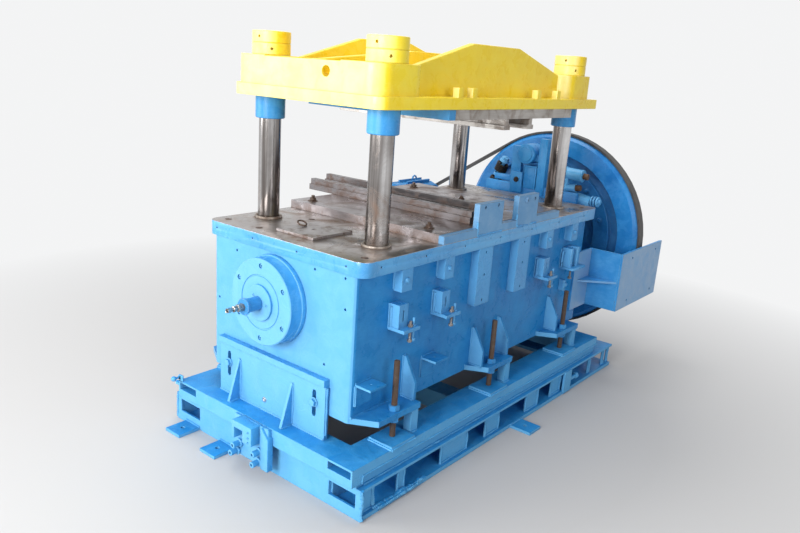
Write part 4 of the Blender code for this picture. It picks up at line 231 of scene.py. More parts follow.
def weld_tree():
    """A weld bead along each line of a mesh: a ripple for every dip of the rod, uneven in width."""
    tree = bpy.data.node_groups.new("weld bead", "GeometryNodeTree")
    given = sockets(tree, [("Lines", "NodeSocketGeometry", None), ("Width", VALUE, 0.006),
                           ("Ripple", VALUE, 0.009), ("Waver", VALUE, 0.002), ("Seed", VALUE, 1.0),
                           ("Finish", "NodeSocketMaterial", None)], [("Bead", "NodeSocketGeometry")])
    curve = node(tree, "GeometryNodeMeshToCurve", {0: given["Lines"]}).outputs[0]
    step = sums(tree, "MULTIPLY", given["Ripple"], 0.4)
    sampled = node(tree, "GeometryNodeResampleCurve", {"Curve": curve, "Length": step},
                   mode="LENGTH").outputs[0]
    along = node(tree, "GeometryNodeSplineParameter").outputs["Length"]
    dip = sums(tree, "SINE", sums(tree, "DIVIDE", sums(tree, "MULTIPLY", along, math.tau), given["Ripple"]))
    place = node(tree, "GeometryNodeInputPosition").outputs[0]
    wander = node(tree, "ShaderNodeTexNoise", {"Vector": place, "W": given["Seed"], "Scale": 22.0,
                                               "Detail": 2.0}, noise_dimensions="4D")
    dip = sums(tree, "MULTIPLY", dip, 0.14)
    width = sums(tree, "ADD", dip, stretch(tree, wander.outputs["Fac"], 0.25, 0.75, 0.6, 1.4))
    sized = node(tree, "GeometryNodeSetCurveRadius", {"Curve": sampled, "Radius": width}).outputs[0]
    ring = node(tree, "GeometryNodeCurvePrimitiveCircle",
                {"Resolution": 7, "Radius": given["Width"]}).outputs[0]
    bead = node(tree, "GeometryNodeCurveToMesh", {"Curve": sized, "Profile Curve": ring, "Fill Caps": True})
    if "Scale" in bead.inputs:
        tree.links.new(width, bead.inputs["Scale"])
    lean = node(tree, "ShaderNodeVectorMath", {0: wander.outputs["Color"], 1: (0.5, 0.5, 0.5)},
                operation="SUBTRACT")
    push = node(tree, "ShaderNodeVectorMath", {0: lean.outputs[0], "Scale": given["Waver"]},
                operation="SCALE")
    moved = node(tree, "GeometryNodeSetPosition", {"Geometry": bead.outputs[0],
                                                   "Offset": push.outputs[0]}).outputs[0]
    real = node(tree, "GeometryNodeRealizeInstances", {0: moved}).outputs[0]
    done = node(tree, "GeometryNodeSetMaterial", {"Geometry": real, "Material": given["Finish"]}).outputs[0]
    node(tree, "NodeGroupOutput", {"Bead": done})
    return tree


def linked(name, data):
    """A new object in the scene."""
    made = bpy.data.objects.new(name, data)
    bpy.context.scene.collection.objects.link(made)
    return made


def finished(made):
    """An object's mesh with its modifiers applied."""
    bpy.context.view_layer.update()
    return bpy.data.meshes.new_from_object(made.evaluated_get(bpy.context.evaluated_depsgraph_get()))


def grown(name, marks, tree, values):
    """The plain mesh that a Geometry Nodes tree grows from the marks."""
    holder = linked(name, marks)
    growth = holder.modifiers.new("growth", "NODES")
    growth.node_group = tree
    for item in tree.interface.items_tree:
        if item.in_out == "INPUT" and item.name in values:
            growth[item.identifier] = values[item.name]
    holder.update_tag()
    mesh = finished(holder)
    holder.modifiers.clear()
    bpy.data.objects.remove(holder)
    mesh.shade_smooth()
    mesh.set_sharp_from_angle(angle=math.radians(42))
    return linked(name, mesh)


def line_mesh(name, runs):
    """Open lines as one mesh of edges."""
    points, edges = [], []
    for run in runs:
        edges += [(len(points) + i, len(points) + i + 1) for i in range(len(run) - 1)]
        points += run
    mesh = bpy.data.meshes.new(name)
    mesh.from_pydata(points, edges, [])
    return mesh


WELD = weld_tree()


def welds(name, runs, finish, width=0.006, waver=0.003, seed=1.0, body="frame"):
    """Weld beads as one piece that rides on a body."""
    values = {"Width": width, "Ripple": 0.011, "Waver": waver, "Seed": seed, "Finish": finish}
    bead = grown(name, line_mesh(name, runs), WELD, values)
    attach(bead, body)
    return bead


PANEL_SHARES = ((0.0, 0.039), (0.107, 0.125), (0.238, 0.326), (0.394, 0.446), (0.56, 0.614),
                (0.678, 0.725), (0.88, 0.888), (0.963, 0.972), (0.99, 1.0))
LOWER_LENGTH, PANEL_INSET, SIDE_LUG_X = LOWER_REAR - LOWER_FRONT, 0.021, 0.11
lower_runs, heavy_runs = [], []
for side, out in ((LOWER_NEAR, -1), (LOWER_FAR, 1)):
    face = side - out * PANEL_INSET
    for start, stop in PANEL_SHARES:
        ends = (LOWER_FRONT + start * LOWER_LENGTH, LOWER_FRONT + stop * LOWER_LENGTH)
        lower_runs += [[(x, face, FOOT), (x, face, LOWER_TOP - 0.012)] for x in ends if x > LOWER_FRONT]
        if stop - start > 0.03:
            lower_runs += [[(ends[0], face, z), (ends[1], face, z)]
                           for z in (FOOT + 0.002, LOWER_TOP - 0.014)]
    lower_runs.append([(LOWER_FRONT + 0.04, side - out * 0.029, LOWER_TOP + 0.001),
                       (0.99, side - out * 0.029, LOWER_TOP + 0.001)])
    lower_runs.append([(SIDE_LUG_X - 0.052, side, 0.014), (SIDE_LUG_X + 0.052, side, 0.014)])
    heavy_runs += [[(LOWER_FRONT + 0.006, side, 0.004), (LOWER_FRONT + 0.006, side, LOWER_TOP)],
                   [(LOWER_FRONT + 0.09, face, FOOT), (LOWER_FRONT + 0.09, face, LOWER_TOP - 0.01)],
                   [(LOWER_FRONT + 0.08, side - out * 0.012, FOOT), (-0.64, side - out * 0.008, FOOT)],
                   [(LOWER_FRONT + 0.1, side - out * 0.002, FOOT - 0.004),
                    (-0.7, side - out * 0.002, FOOT - 0.004)]]
for end in (LOWER_FRONT, LOWER_REAR):
    lower_runs += [[(end, y - 0.052, 0.014), (end, y + 0.052, 0.014)] for y in (0.22, 0.482)]
welds("lower_frame_welds", lower_runs, base_blue, width=0.0065, waver=0.005)
welds("heavy_welds", heavy_runs, base_blue, width=0.009, waver=0.022, seed=5.0)


# Upper base frame. The real one is a second frame of channels laid flat on the first, with a pad and a
# leg block at each levelling station. The long seams between the two frames were welded in short,
# heavy passes that still show through the paint.

UPPER_FRONT, UPPER_REAR, UPPER_TOP = -1.1, 1.04, 0.233
STATION_XS = (-0.8, -0.07, 0.665)
NEAR_WALL, FAR_WALL, STUD_REACH = -0.449, 0.405, 0.071
HOUSING_BOTTOM, PAD_TOP = 0.34, 0.248
STATION_LUGS = ((-0.185, 0.142, (0.142,)), (-0.122, 0.157, (-0.07, 0.157)), (-0.17, 0.145, (-0.065,)))


def box_run(xs, ys, z):
    """A closed run round a rectangle, lying flat."""
    return [(xs[0], ys[0], z), (xs[1], ys[0], z), (xs[1], ys[1], z), (xs[0], ys[1], z), (xs[0], ys[0], z)]


UPPER_NEAR, UPPER_FAR, PLATE_BOTTOM, CHANNEL_BOTTOM = -0.578, 0.534, 0.158, 0.188
upper_runs = []
for out, wall, side in ((-1, NEAR_WALL, UPPER_NEAR), (1, FAR_WALL, UPPER_FAR)):
    stud = wall + out * STUD_REACH
    for x, (_, lug_end, _) in zip(STATION_XS, STATION_LUGS):
        upper_runs.append(box_run((x - 0.075, x + 0.075), (stud - 0.0625, stud + 0.0625), UPPER_TOP + 0.001))
        leg = (x + lug_end - 0.045, x + lug_end)
        upper_runs.append(box_run(leg, (stud - 0.02, stud + 0.02),
                                  PAD_TOP if leg[0] < x + 0.075 else UPPER_TOP))
        upper_runs.append(box_run(leg, (stud - 0.02, stud + 0.02), HOUSING_BOTTOM - 0.003))
    upper_runs.append([(UPPER_FRONT + 0.06, side - out * 0.002, CHANNEL_BOTTOM),
                       (UPPER_REAR, side - out * 0.002, CHANNEL_BOTTOM)])
    upper_runs.append([(UPPER_FRONT + 0.06, side, PLATE_BOTTOM), (UPPER_FRONT + 0.06, side, CHANNEL_BOTTOM)])
welds("upper_frame_welds", upper_runs, base_blue, width=0.006, waver=0.004, seed=4.0)


# Levelling studs. The real ones are lengths of rusty threaded rod that stand on the pads and carry the
# housing by its lugs. Each has one hexagon nut under its lug and one over it, run down hard and then
# caught by the paint brush.

def turned(axis, centre, profile, sides, closed=False):
    """A turned shape from (radius, along) points, closed at its ends or in a loop."""
    order = {"X": (0, 1, 2), "Y": (1, 2, 0), "Z": (2, 0, 1)}[axis]
    bm = bmesh.new()
    rings = []
    for radius, along in profile:
        ring = []
        for i in range(sides):
            turn = math.tau * i / sides
            place = [0.0, 0.0, 0.0]
            for index, value in zip(order, (along, centre[0] + radius * math.cos(turn),
                                            centre[1] + radius * math.sin(turn))):
                place[index] = value
            ring.append(bm.verts.new(place))
        rings.append(ring)
    pairs = list(zip(rings, rings[1:]))
    if closed:
        pairs.append((rings[-1], rings[0]))
    else:
        bm.faces.new(rings[0])
        bm.faces.new(rings[-1])
    for low, high in pairs:
        for i in range(sides):
            j = (i + 1) % sides
            bm.faces.new((low[i], low[j], high[j], high[i]))
    return bm


def prism(axis, outline, span):
    """An outline across an axis, pushed from one end of a span to the other."""
    order = {"X": (0, 1, 2), "Y": (1, 2, 0), "Z": (2, 0, 1)}[axis]
    bm = bmesh.new()
    rings = []
    for along in span:
        ring = []
        for first, second in outline:
            place = [0.0, 0.0, 0.0]
            for index, value in zip(order, (along, first, second)):
                place[index] = value
            ring.append(bm.verts.new(place))
        rings.append(ring)
    bm.faces.new(rings[0])
    bm.faces.new(rings[1])
    for i in range(len(outline)):
        j = (i + 1) % len(outline)
        bm.faces.new((rings[0][i], rings[0][j], rings[1][j], rings[1][i]))
    return bm


def block(xs, ys, zs):
    return prism("Z", [(xs[0], ys[0]), (xs[1], ys[0]), (xs[1], ys[1]), (xs[0], ys[1])], zs)


def hexagon(axis, centre, radius, span):
    """A hexagon bar with its corners turned off at both ends."""
    chamfer = radius * 0.14
    low, high = min(span), max(span)
    bar = prism(axis, [(centre[0] + radius * math.cos(math.tau * i / 6),
                        centre[1] + radius * math.sin(math.tau * i / 6)) for i in range(6)], (low, high))
    cone = turned(axis, centre, [(radius - chamfer, low), (radius, low + chamfer * 0.6),
                                 (radius, high - chamfer * 0.6), (radius - chamfer, high)], 24)
    return cut_together(bar, cone, "INTERSECT")


def merged(name, parts):
    """One object from closed shapes, each with its faces turned outwards."""
    whole = bmesh.new()
    for part in parts:
        bmesh.ops.recalc_face_normals(part, faces=part.faces)
        mesh = bpy.data.meshes.new("part")
        part.to_mesh(mesh)
        part.free()
        whole.from_mesh(mesh)
        bpy.data.meshes.remove(mesh)
    mesh = bpy.data.meshes.new(name)
    whole.to_mesh(mesh)
    whole.free()
    return linked(name, mesh)


def cut_together(first, second, operation):
    """Two bmeshes joined, cut or crossed by an exact Boolean."""
    one, two = merged("first", [first]), merged("second", [second])
    tool = one.modifiers.new("cut", "BOOLEAN")
    tool.operation, tool.solver, tool.object = operation, "EXACT", two
    mesh = finished(one)
    bpy.data.objects.remove(one)
    bpy.data.objects.remove(two)
    bm = bmesh.new()
    bm.from_mesh(mesh)
    bpy.data.meshes.remove(mesh)
    return bm


def piece(name, parts, finish, body, replaces=(), bevel=0.0, segments=2, angle=30):
    """One piece from closed shapes, with its edges eased, its finish, its body and what it stands for."""
    made = merged(name, parts)
    if bevel:
        ease = made.modifiers.new("ease", "BEVEL")
        ease.width, ease.segments, ease.limit_method = bevel, segments, "ANGLE"
        ease.angle_limit = math.radians(angle)
        rounded = finished(made)
        made.modifiers.clear()
        made.data = rounded
        rounded.name = name
    made.data.materials.clear()
    made.data.materials.append(finish)
    made.data.shade_smooth()
    made.data.set_sharp_from_angle(angle=math.radians(38))
    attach(made, body)
    if replaces:
        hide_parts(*replaces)
    return made


def metal_group():
    """Worked steel: cloudy tone, fine scratches along one way, stains or rust in spots, and painted shade
    where the stain reaches further into inner corners.
    """
    tree = bpy.data.node_groups.new("worked steel", "ShaderNodeTree")
    given = sockets(tree, [("Bright", COLOUR, None), ("Dull", COLOUR, None), ("Stain", COLOUR, None),
                           ("Amount", VALUE, 0.3), ("Gloss", VALUE, 0.3), ("Scratch Scale", DIRECTION, None),
                           ("Streak", VALUE, 0.45), ("Spot Scale", VALUE, 9.0), ("Edge", VALUE, 0.0),
                           ("Corner Shade", VALUE, 0.0)], [("Colour", COLOUR), ("Roughness", VALUE),
                                                     ("Height", VALUE), ("Metal", VALUE)])
    place = node(tree, "ShaderNodeTexCoord").outputs["Object"]
    cloud = stretch(tree, noise(tree, place, 3.0, 6.0, 0.62, 0.4), 0.32, 0.7)
    along = node(tree, "ShaderNodeVectorMath", {0: place, 1: given["Scratch Scale"]},
                 operation="MULTIPLY").outputs[0]
    scratch = noise(tree, along, 1.0, 4.0, 0.65)
    spots = noise(tree, place, given["Spot Scale"], 8.0, 0.7, 0.7)
    grit = noise(tree, place, 240.0, 3.0, 0.6)
    # Painted shade: the stain reaches further into inner corners, found by occlusion.
    reach = sums(tree, "ADD", sums(tree, "MULTIPLY", given["Corner Shade"], 0.25), given["Amount"])
    stain = stretch(tree, sums(tree, "ADD", spots, sums(tree, "MULTIPLY", reach, 0.35)), 0.56, 0.78)
    stain = sums(tree, "MULTIPLY", stain, stretch(tree, grit, 0.2, 0.55, 0.45, 1.0))
    lines = stretch(tree, scratch, 0.36, 0.64, sums(tree, "SUBTRACT", 1.0, given["Streak"]), 1.0)
    tone = between(tree, sums(tree, "MULTIPLY", stretch(tree, cloud, 0.0, 1.0, 0.35, 1.0), lines),
                   given["Dull"], given["Bright"])
    tone = between(tree, sums(tree, "MULTIPLY", given["Edge"], 0.5), tone, given["Bright"])
    tone = between(tree, stain, tone, given["Stain"])
    thin = sums(tree, "SUBTRACT", 1.0, cloud)
    rough = sums(tree, "ADD", given["Gloss"], sums(tree, "MULTIPLY", thin, 0.16))
    rough = sums(tree, "ADD", rough, sums(tree, "MULTIPLY", stain, 0.35), clamp=True)
    height = sums(tree, "ADD", sums(tree, "MULTIPLY", scratch, 0.5),
                  sums(tree, "MULTIPLY", stain, sums(tree, "MULTIPLY", grit, 0.8)))
    metal = stretch(tree, stain, 0.0, 1.0, 1.0, 0.25)
    node(tree, "NodeGroupOutput", {"Colour": tone, "Roughness": rough, "Height": height, "Metal": metal})
    return tree


METAL = metal_group()


def steel(name, bright, dull, stain, amount=0.3, gloss=0.3, scratch=(40.0, 40.0, 3.0), spots=9.0,
          reach=0.0015, depth=0.0003, thread=None, streak=0.45):
    """A bare steel with its own tones, scratches and stains, and a screw thread along Z where it has one."""
    made, tree, shader = blank(name)
    edges = node(tree, "ShaderNodeGroup", {"Reach": reach}, node_tree=EDGES).outputs
    values = {"Bright": (*bright, 1), "Dull": (*dull, 1), "Stain": (*stain, 1), "Amount": amount,
              "Gloss": gloss, "Scratch Scale": scratch, "Streak": streak, "Spot Scale": spots,
              "Edge": edges["Edge"], "Corner Shade": edges["Corner Shade"]}
    work = node(tree, "ShaderNodeGroup", values, node_tree=METAL).outputs
    height = work["Height"]
    if thread:
        place = node(tree, "ShaderNodeTexCoord").outputs["Object"]
        waves = node(tree, "ShaderNodeTexWave", {"Vector": place, "Scale": thread},
                     bands_direction="Z").outputs["Fac"]
        height = sums(tree, "ADD", sums(tree, "MULTIPLY", height, 0.4), sums(tree, "MULTIPLY", waves, 1.4))
    bump = node(tree, "ShaderNodeBump", {"Height": height, "Distance": depth, "Strength": 1.0,
                                         "Normal": edges["Normal"]})
    feed(tree, shader, {"Base Color": work["Colour"], "Roughness": work["Roughness"],
                        "Metallic": work["Metal"], "Normal": bump.outputs["Normal"]})
    return made


def copies_tree():
    """A copy of one piece on each mark, turned the way its mark faces and spun a little about itself."""
    tree = bpy.data.node_groups.new("copies on marks", "GeometryNodeTree")
    given = sockets(tree, [("Marks", "NodeSocketGeometry", None), ("Piece", "NodeSocketObject", None),
                           ("Spin", VALUE, 0.0), ("Seed", "NodeSocketInt", 1),
                           ("Finish", "NodeSocketMaterial", None)], [("Copies", "NodeSocketGeometry")])
    source = node(tree, "GeometryNodeObjectInfo", {"Object": given["Piece"]}).outputs["Geometry"]
    facing = node(tree, "GeometryNodeInputNamedAttribute", {"Name": "facing"},
                  data_type="FLOAT_VECTOR").outputs[0]
    placed = node(tree, "GeometryNodeInstanceOnPoints", {"Points": given["Marks"], "Instance": source,
                                                         "Rotation": facing}).outputs[0]
    spin = node(tree, "FunctionNodeRandomValue", {2: 0.0, 3: given["Spin"], "Seed": given["Seed"]},
                data_type="FLOAT").outputs[1]
    about = node(tree, "ShaderNodeCombineXYZ", {"Z": spin}).outputs[0]
    spun = node(tree, "GeometryNodeRotateInstances", {"Instances": placed, "Rotation": about}).outputs[0]
    real = node(tree, "GeometryNodeRealizeInstances", {0: spun}).outputs[0]
    done = node(tree, "GeometryNodeSetMaterial", {"Geometry": real, "Material": given["Finish"]}).outputs[0]
    node(tree, "NodeGroupOutput", {"Copies": done})
    return tree


COPIES = copies_tree()


def set_out(name, parts, places, finish, body, spin=0.0, seed=1, replaces=()):
    """Copies of one small piece, made along +Z from its foot, on (point, way) places."""
    single = merged("single", parts)
    marks = bpy.data.meshes.new(name)
    marks.from_pydata([point for point, _ in places], [], [])
    facing = marks.attributes.new("facing", "FLOAT_VECTOR", "POINT")
    for spot, (_, way) in zip(facing.data, places):
        spot.vector = Vector(way).to_track_quat("Z", "Y").to_euler()
    made = grown(name, marks, COPIES, {"Piece": single, "Spin": spin, "Seed": seed, "Finish": finish})
    bpy.data.objects.remove(single)
    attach(made, body)
    if replaces:
        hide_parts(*replaces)
    return made


LUG_TOP, STUD_RADIUS, NUT_RADIUS, NUT_HEIGHT = 0.365, 0.0125, 0.0235, 0.024
stud_rust = steel("rusty threaded rod", (0.20, 0.16, 0.135), (0.10, 0.075, 0.06), (0.10, 0.058, 0.038),
                  amount=0.5, gloss=0.5, spots=30.0, thread=62.0, depth=0.0012)
stations = [(x, wall + out * STUD_REACH) for out, wall in ((-1, NEAR_WALL), (1, FAR_WALL))
            for x in STATION_XS]
stud = turned("Z", (0, 0), [(STUD_RADIUS - 0.002, 0), (STUD_RADIUS, 0.002), (STUD_RADIUS, 0.333),
                            (STUD_RADIUS - 0.002, 0.335)], 24)
set_out("levelling_studs", [stud], [((x, y, PAD_TOP + 0.0003), (0, 0, 1)) for x, y in stations], stud_rust,
        "frame", replaces=[f"levelling_stud_{n}" for n in range(1, 7)])
stud_nut = paint("painted nut enamel", (0.04, 0.28, 0.62), (0.02, 0.17, 0.42), (0.11, 0.42, 0.75), wear=0.9,
                 dirt_and_shade=0.5, gloss=0.32, reach=0.0015, depth=0.0006)
nut_places = [((x, y, z), (0, 0, 1)) for x, y in stations
              for z in (LUG_TOP + 0.0003, HOUSING_BOTTOM - NUT_HEIGHT - 0.0003)]
set_out("levelling_nuts", [hexagon("Z", (0, 0), NUT_RADIUS, (0, NUT_HEIGHT))], nut_places, stud_nut, "frame",
        spin=1.0, seed=3)


# Housing. The real one is a deep box of thick plate with round corners, open above and below. Lugs
# and gussets are welded to its long sides for the levelling studs, with two small angle brackets on
# the near side, and old tapped holes were left open under the paint.

HOUSING_FRONT, CRANK_Z = -0.992, 0.75
# Painted light: its front faces take a paler tone.
blue = paint("housing blue enamel", (0.02, 0.23, 0.55), (0.012, 0.165, 0.45), (0.065, 0.35, 0.70), wear=0.12,
             dirt_and_shade=0.25, gloss=0.26, brush=0.55, depth=0.0014, sheen=0.16, lit_side_tone=(0.15, 0.43, 0.70))
dress(blue, "housing")

housing_runs = []
for out, wall in ((-1, NEAR_WALL), (1, FAR_WALL)):
    for x, (start, stop, gussets) in zip(STATION_XS, STATION_LUGS):
        housing_runs.append([(x + start, wall, LUG_TOP), (x + stop, wall, LUG_TOP)])
        for offset in gussets:
            for edge in (x + offset, x + offset - 0.014):
                housing_runs.append([(edge, wall, LUG_TOP + 0.004), (edge, wall, LUG_TOP + 0.186)])
                housing_runs.append([(edge, wall + out * 0.004, LUG_TOP),
                                     (edge, wall + out * 0.068, LUG_TOP)])
for x in (-0.92, -0.5):
    housing_runs.append([(x - 0.046, NEAR_WALL, 0.507), (x + 0.046, NEAR_WALL, 0.507)])
    housing_runs += [[(edge, NEAR_WALL, 0.412), (edge, NEAR_WALL, 0.5)] for edge in (x - 0.0475, x + 0.0475)]
welds("housing_welds", housing_runs, blue, width=0.005, waver=0.003, seed=7.0)


# Front support plate. The real one is an upright plate against the housing's front, with a ledge over
# it and two gussets down to the base frame. A bolt and washer sit in each of its two long slots, and a
# bright plug fills a hole between the gussets.

SUPPORT_FACE, SUPPORT_TOP = -1.0123, 0.4733
# Painted light: its front faces take a paler tone.
front_blue = paint("front plate blue enamel", (0.05, 0.31, 0.65), (0.022, 0.21, 0.52), (0.12, 0.44, 0.78),
                   wear=0.25, dirt_and_shade=0.4, gloss=0.24, brush=0.7, depth=0.0015, lit_side_tone=(0.15, 0.43, 0.70))
dress(front_blue, "front_support_plate")

support_runs = [[(SUPPORT_FACE, y, z) for y in (-0.333, 0.333)]
                for z in (UPPER_TOP + 0.002, SUPPORT_TOP - 0.005)]
for y in (0.2, -0.14):
    for edge in (y - 0.007, y + 0.007):
        support_runs.append([(SUPPORT_FACE, edge, UPPER_TOP + 0.01), (SUPPORT_FACE, edge, 0.42)])
        support_runs.append([(SUPPORT_FACE - 0.004, edge, UPPER_TOP + 0.001),
                             (SUPPORT_FACE - 0.058, edge, UPPER_TOP + 0.001)])
for y in (-0.336, 0.336):
    support_runs.append([(HOUSING_FRONT - 0.012, y, UPPER_TOP + 0.02),
                         (HOUSING_FRONT - 0.012, y, SUPPORT_TOP - 0.01)])
welds("support_welds", support_runs, front_blue, width=0.005, waver=0.003, seed=9.0)

support_bolts = [((SUPPORT_FACE, y, SUPPORT_TOP - 0.09), (-1, 0, 0)) for y in (-0.272, 0.272)]
set_out("support_bolts", [turned("Z", (0, 0), [(0.02, 0), (0.021, 0.001), (0.021, 0.004), (0.02, 0.005)], 28),
                          hexagon("Z", (0, 0), 0.0165, (0.004, 0.017))],
        support_bolts, front_blue, "frame", spin=1.0, seed=5)
plug_metal = steel("bright plug", (0.72, 0.72, 0.70), (0.5, 0.5, 0.5), (0.3, 0.25, 0.2), amount=0.05,
                   gloss=0.18)
set_out("support_plug", [turned("Z", (0, 0), [(0.012, 0), (0.012, 0.002), (0.0105, 0.004), (0.006, 0.004),
                                              (0.005, 0.002), (0.001, 0.002)], 24)],
        [((SUPPORT_FACE, 0.03, 0.285), (-1, 0, 0))], plug_metal, "frame")


# Front clamp bracket. The real one is a welded bracket bolted to the middle of the base's front: a back
# plate, a thick cheek with its corner cut off, a slotted block with three set screws in its front, and
# four tall cap screws on washers.

CLAMP_BACK, CLAMP_PLATE_FACE, CLAMP_CHEEK_FACE, CLAMP_FACE = -1.1003, -1.1183, -1.1303, -1.1653
CLAMP_TOP, CLAMP_BASE = 0.23, 0.045


def cap_screw(radius, height, socket, sides=28):
    """A cylinder-head screw with a hexagon sunk in its head, standing on its foot."""
    head = turned("Z", (0, 0), [(radius, 0), (radius, height - 0.0015), (radius - 0.0015, height)], sides)
    hole = prism("Z", [(socket * math.cos(math.tau * i / 6), socket * math.sin(math.tau * i / 6))
                       for i in range(6)], (height * 0.45, height * 1.5))
    return cut_together(head, hole, "DIFFERENCE")


cheek = [(-0.085, CLAMP_BASE), (-0.085, CLAMP_TOP + 0.004), (-0.088, CLAMP_TOP + 0.004),
         (-0.13, CLAMP_TOP - 0.038), (-0.13, CLAMP_BASE)]
slotted = [(-0.066, 0.152), (-0.066, 0.234), (0.06, 0.234), (0.06, 0.152), (0.045, 0.152), (0.045, 0.204),
           (-0.008, 0.204), (-0.008, 0.152)]
piece("front_clamp", [block((CLAMP_PLATE_FACE, CLAMP_BACK), (-0.12, 0.1), (CLAMP_BASE + 0.004, CLAMP_TOP)),
                      prism("X", slotted, (CLAMP_FACE, CLAMP_BACK - 0.004)),
                      prism("X", cheek, (CLAMP_CHEEK_FACE, CLAMP_BACK))],
      front_blue, "frame", replaces=["front_clamp_bracket"], bevel=0.002)
clamp_spots = [((CLAMP_PLATE_FACE, y, z), (-1, 0, 0)) for y, z in ((-0.068, 0.115), (-0.066, 0.067),
                                                                   (0.075, 0.066), (0.06, 0.108))]
washer = turned("Z", (0, 0), [(0.0195, 0), (0.02, 0.001), (0.02, 0.009), (0.0185, 0.01)], 32)
set_out("clamp_screws", [washer, cap_screw(0.0135, 0.044, 0.007)], clamp_spots, front_blue, "frame",
        spin=1.0, seed=8)
clamp_sets = [((CLAMP_FACE, -0.045, z), (-1, 0, 0)) for z in (0.21, 0.186, 0.164)]
set_out("clamp_set_screws", [cap_screw(0.005, 0.004, 0.0026, 20)], clamp_sets, front_blue, "frame",
        spin=1.0, seed=9)
clamp_runs = [[(CLAMP_PLATE_FACE, -0.085, CLAMP_BASE + 0.01), (CLAMP_PLATE_FACE, -0.085, CLAMP_TOP)],
              [(CLAMP_PLATE_FACE, -0.066, 0.152), (CLAMP_PLATE_FACE, -0.008, 0.152)],
              [(CLAMP_PLATE_FACE, 0.06, 0.152), (CLAMP_PLATE_FACE, 0.06, CLAMP_TOP)],
              [(CLAMP_PLATE_FACE + 0.004, -0.116, CLAMP_TOP), (CLAMP_PLATE_FACE + 0.004, 0.098, CLAMP_TOP)]]
welds("clamp_welds", clamp_runs, front_blue, width=0.004, waver=0.003, seed=11.0)


# Bed plate. The real one is a thick ground plate with round corners on top of the housing. Its top is bare
# steel, brown with old oil and spots of rust, and its edges are painted and have small tapped holes. Sunk
# screws hold it down.

BED_TOP, BED_NEAR, BED_FAR = 1.01, -0.492, 0.448
bed_steel = steel("oiled bed steel", (0.52, 0.505, 0.50), (0.29, 0.265, 0.255), (0.15, 0.08, 0.05),
                  amount=0.26, gloss=0.2, scratch=(18.0, 120.0, 18.0), spots=7.0, depth=0.0002)
edge_blue = paint("bed edge enamel", (0.085, 0.355, 0.67), (0.04, 0.25, 0.56), (0.16, 0.47, 0.78), wear=0.35,
                  dirt_and_shade=0.25, gloss=0.24, depth=0.001)


def two_finishes(name, above, below, level):
    """Bare steel where a plate faces up, and enamel with a ragged upper edge everywhere else."""
    made = above.copy()
    made.name = name
    tree = made.node_tree
    shader = tree.nodes["Principled BSDF"]
    source = next(n for n in below.node_tree.nodes if n.type == "GROUP" and n.node_tree == ENAMEL)
    edges = next(n for n in tree.nodes if n.type == "GROUP" and n.node_tree == EDGES).outputs
    values = {socket.name: socket.default_value for socket in source.inputs if not socket.is_linked}
    values |= {"Edge": edges["Edge"], "Corner Shade": edges["Corner Shade"]}
    coats = node(tree, "ShaderNodeGroup", values, node_tree=ENAMEL).outputs
    geometry = node(tree, "ShaderNodeNewGeometry")
    up = node(tree, "ShaderNodeSeparateXYZ", {0: geometry.outputs["Normal"]}).outputs["Z"]
    place = node(tree, "ShaderNodeTexCoord").outputs["Object"]
    high = node(tree, "ShaderNodeSeparateXYZ", {0: place}).outputs["Z"]
    ragged = sums(tree, "ADD", high, sums(tree, "MULTIPLY", noise(tree, place, 55.0, 3.0), 0.004))
    painted = sums(tree, "MULTIPLY", stretch(tree, up, 0.75, 0.5),
                   stretch(tree, ragged, level + 0.0015, level))
    work = next(n for n in tree.nodes if n.type == "GROUP" and n.node_tree == METAL).outputs
    rough = node(tree, "ShaderNodeMix", {0: painted, 2: work["Roughness"], 3: coats["Roughness"]}).outputs[0]
    bare = sums(tree, "MULTIPLY", work["Metal"], sums(tree, "SUBTRACT", 1.0, painted))
    feed(tree, shader, {"Base Color": between(tree, painted, work["Colour"], coats["Colour"]),
                        "Roughness": rough, "Metallic": bare})
    return made


def arc(centre, radius, start, stop, steps):
    """Points on an arc, its angles in degrees."""
    turns = [math.radians(start + (stop - start) * i / steps) for i in range(steps + 1)]
    return [(centre[0] + radius * math.cos(t), centre[1] + radius * math.sin(t)) for t in turns]


def round_plate(corners, steps):
    """A plate's outline from its far rear, far front, near front and near rear corners and their radii."""
    outline = []
    for quarter, (x, y, radius) in enumerate(corners):
        to_x, to_y = ((1, 1), (-1, 1), (-1, -1), (1, -1))[quarter]
        outline += arc((x - to_x * radius, y - to_y * radius), radius, 90 * quarter, 90 * quarter + 90, steps)
    return outline


BED_BOTTOM, BED_FRONT, BED_REAR, BED_HOLE, BED_HOLE_Z = 0.9483, -1.0, 0.98, 0.0045, 0.982
PILLARS = [(x, y) for x in (-0.75, 0.75) for y in (-0.33, 0.33)]
bed_finish = two_finishes("bed plate finish", bed_steel, edge_blue, BED_TOP)
bed_corners = ((BED_REAR, BED_FAR, 0.03), (BED_FRONT, BED_FAR, 0.05), (BED_FRONT, BED_NEAR, 0.05),
               (BED_REAR, BED_NEAR, 0.03))
bed = prism("Z", round_plate(bed_corners, 10), (BED_BOTTOM, BED_TOP))
for x, y in PILLARS:
    bed = cut_together(bed, turned("Z", (x, y), [(0.0543, 0.9), (0.0543, 1.1)], 80), "DIFFERENCE")
for x in (-0.9, -0.62, -0.34, -0.05, 0.24, 0.53, 0.82):
    hole = turned("Y", (BED_HOLE_Z, x), [(BED_HOLE, BED_NEAR - 0.01), (BED_HOLE, BED_NEAR + 0.02)], 16)
    bed = cut_together(bed, hole, "DIFFERENCE")
for y in (-0.4, -0.13, 0.14, 0.38):
    hole = turned("X", (y, BED_HOLE_Z), [(BED_HOLE, BED_FRONT - 0.01), (BED_HOLE, BED_FRONT + 0.02)], 16)
    bed = cut_together(bed, hole, "DIFFERENCE")
piece("bed", [bed], bed_finish, "frame", replaces=["bed_plate"], bevel=0.0022, angle=40)
screw_dark = steel("oily screw head", (0.26, 0.22, 0.20), (0.12, 0.09, 0.08), (0.07, 0.035, 0.02), amount=0.5,
                   gloss=0.35, spots=60.0)


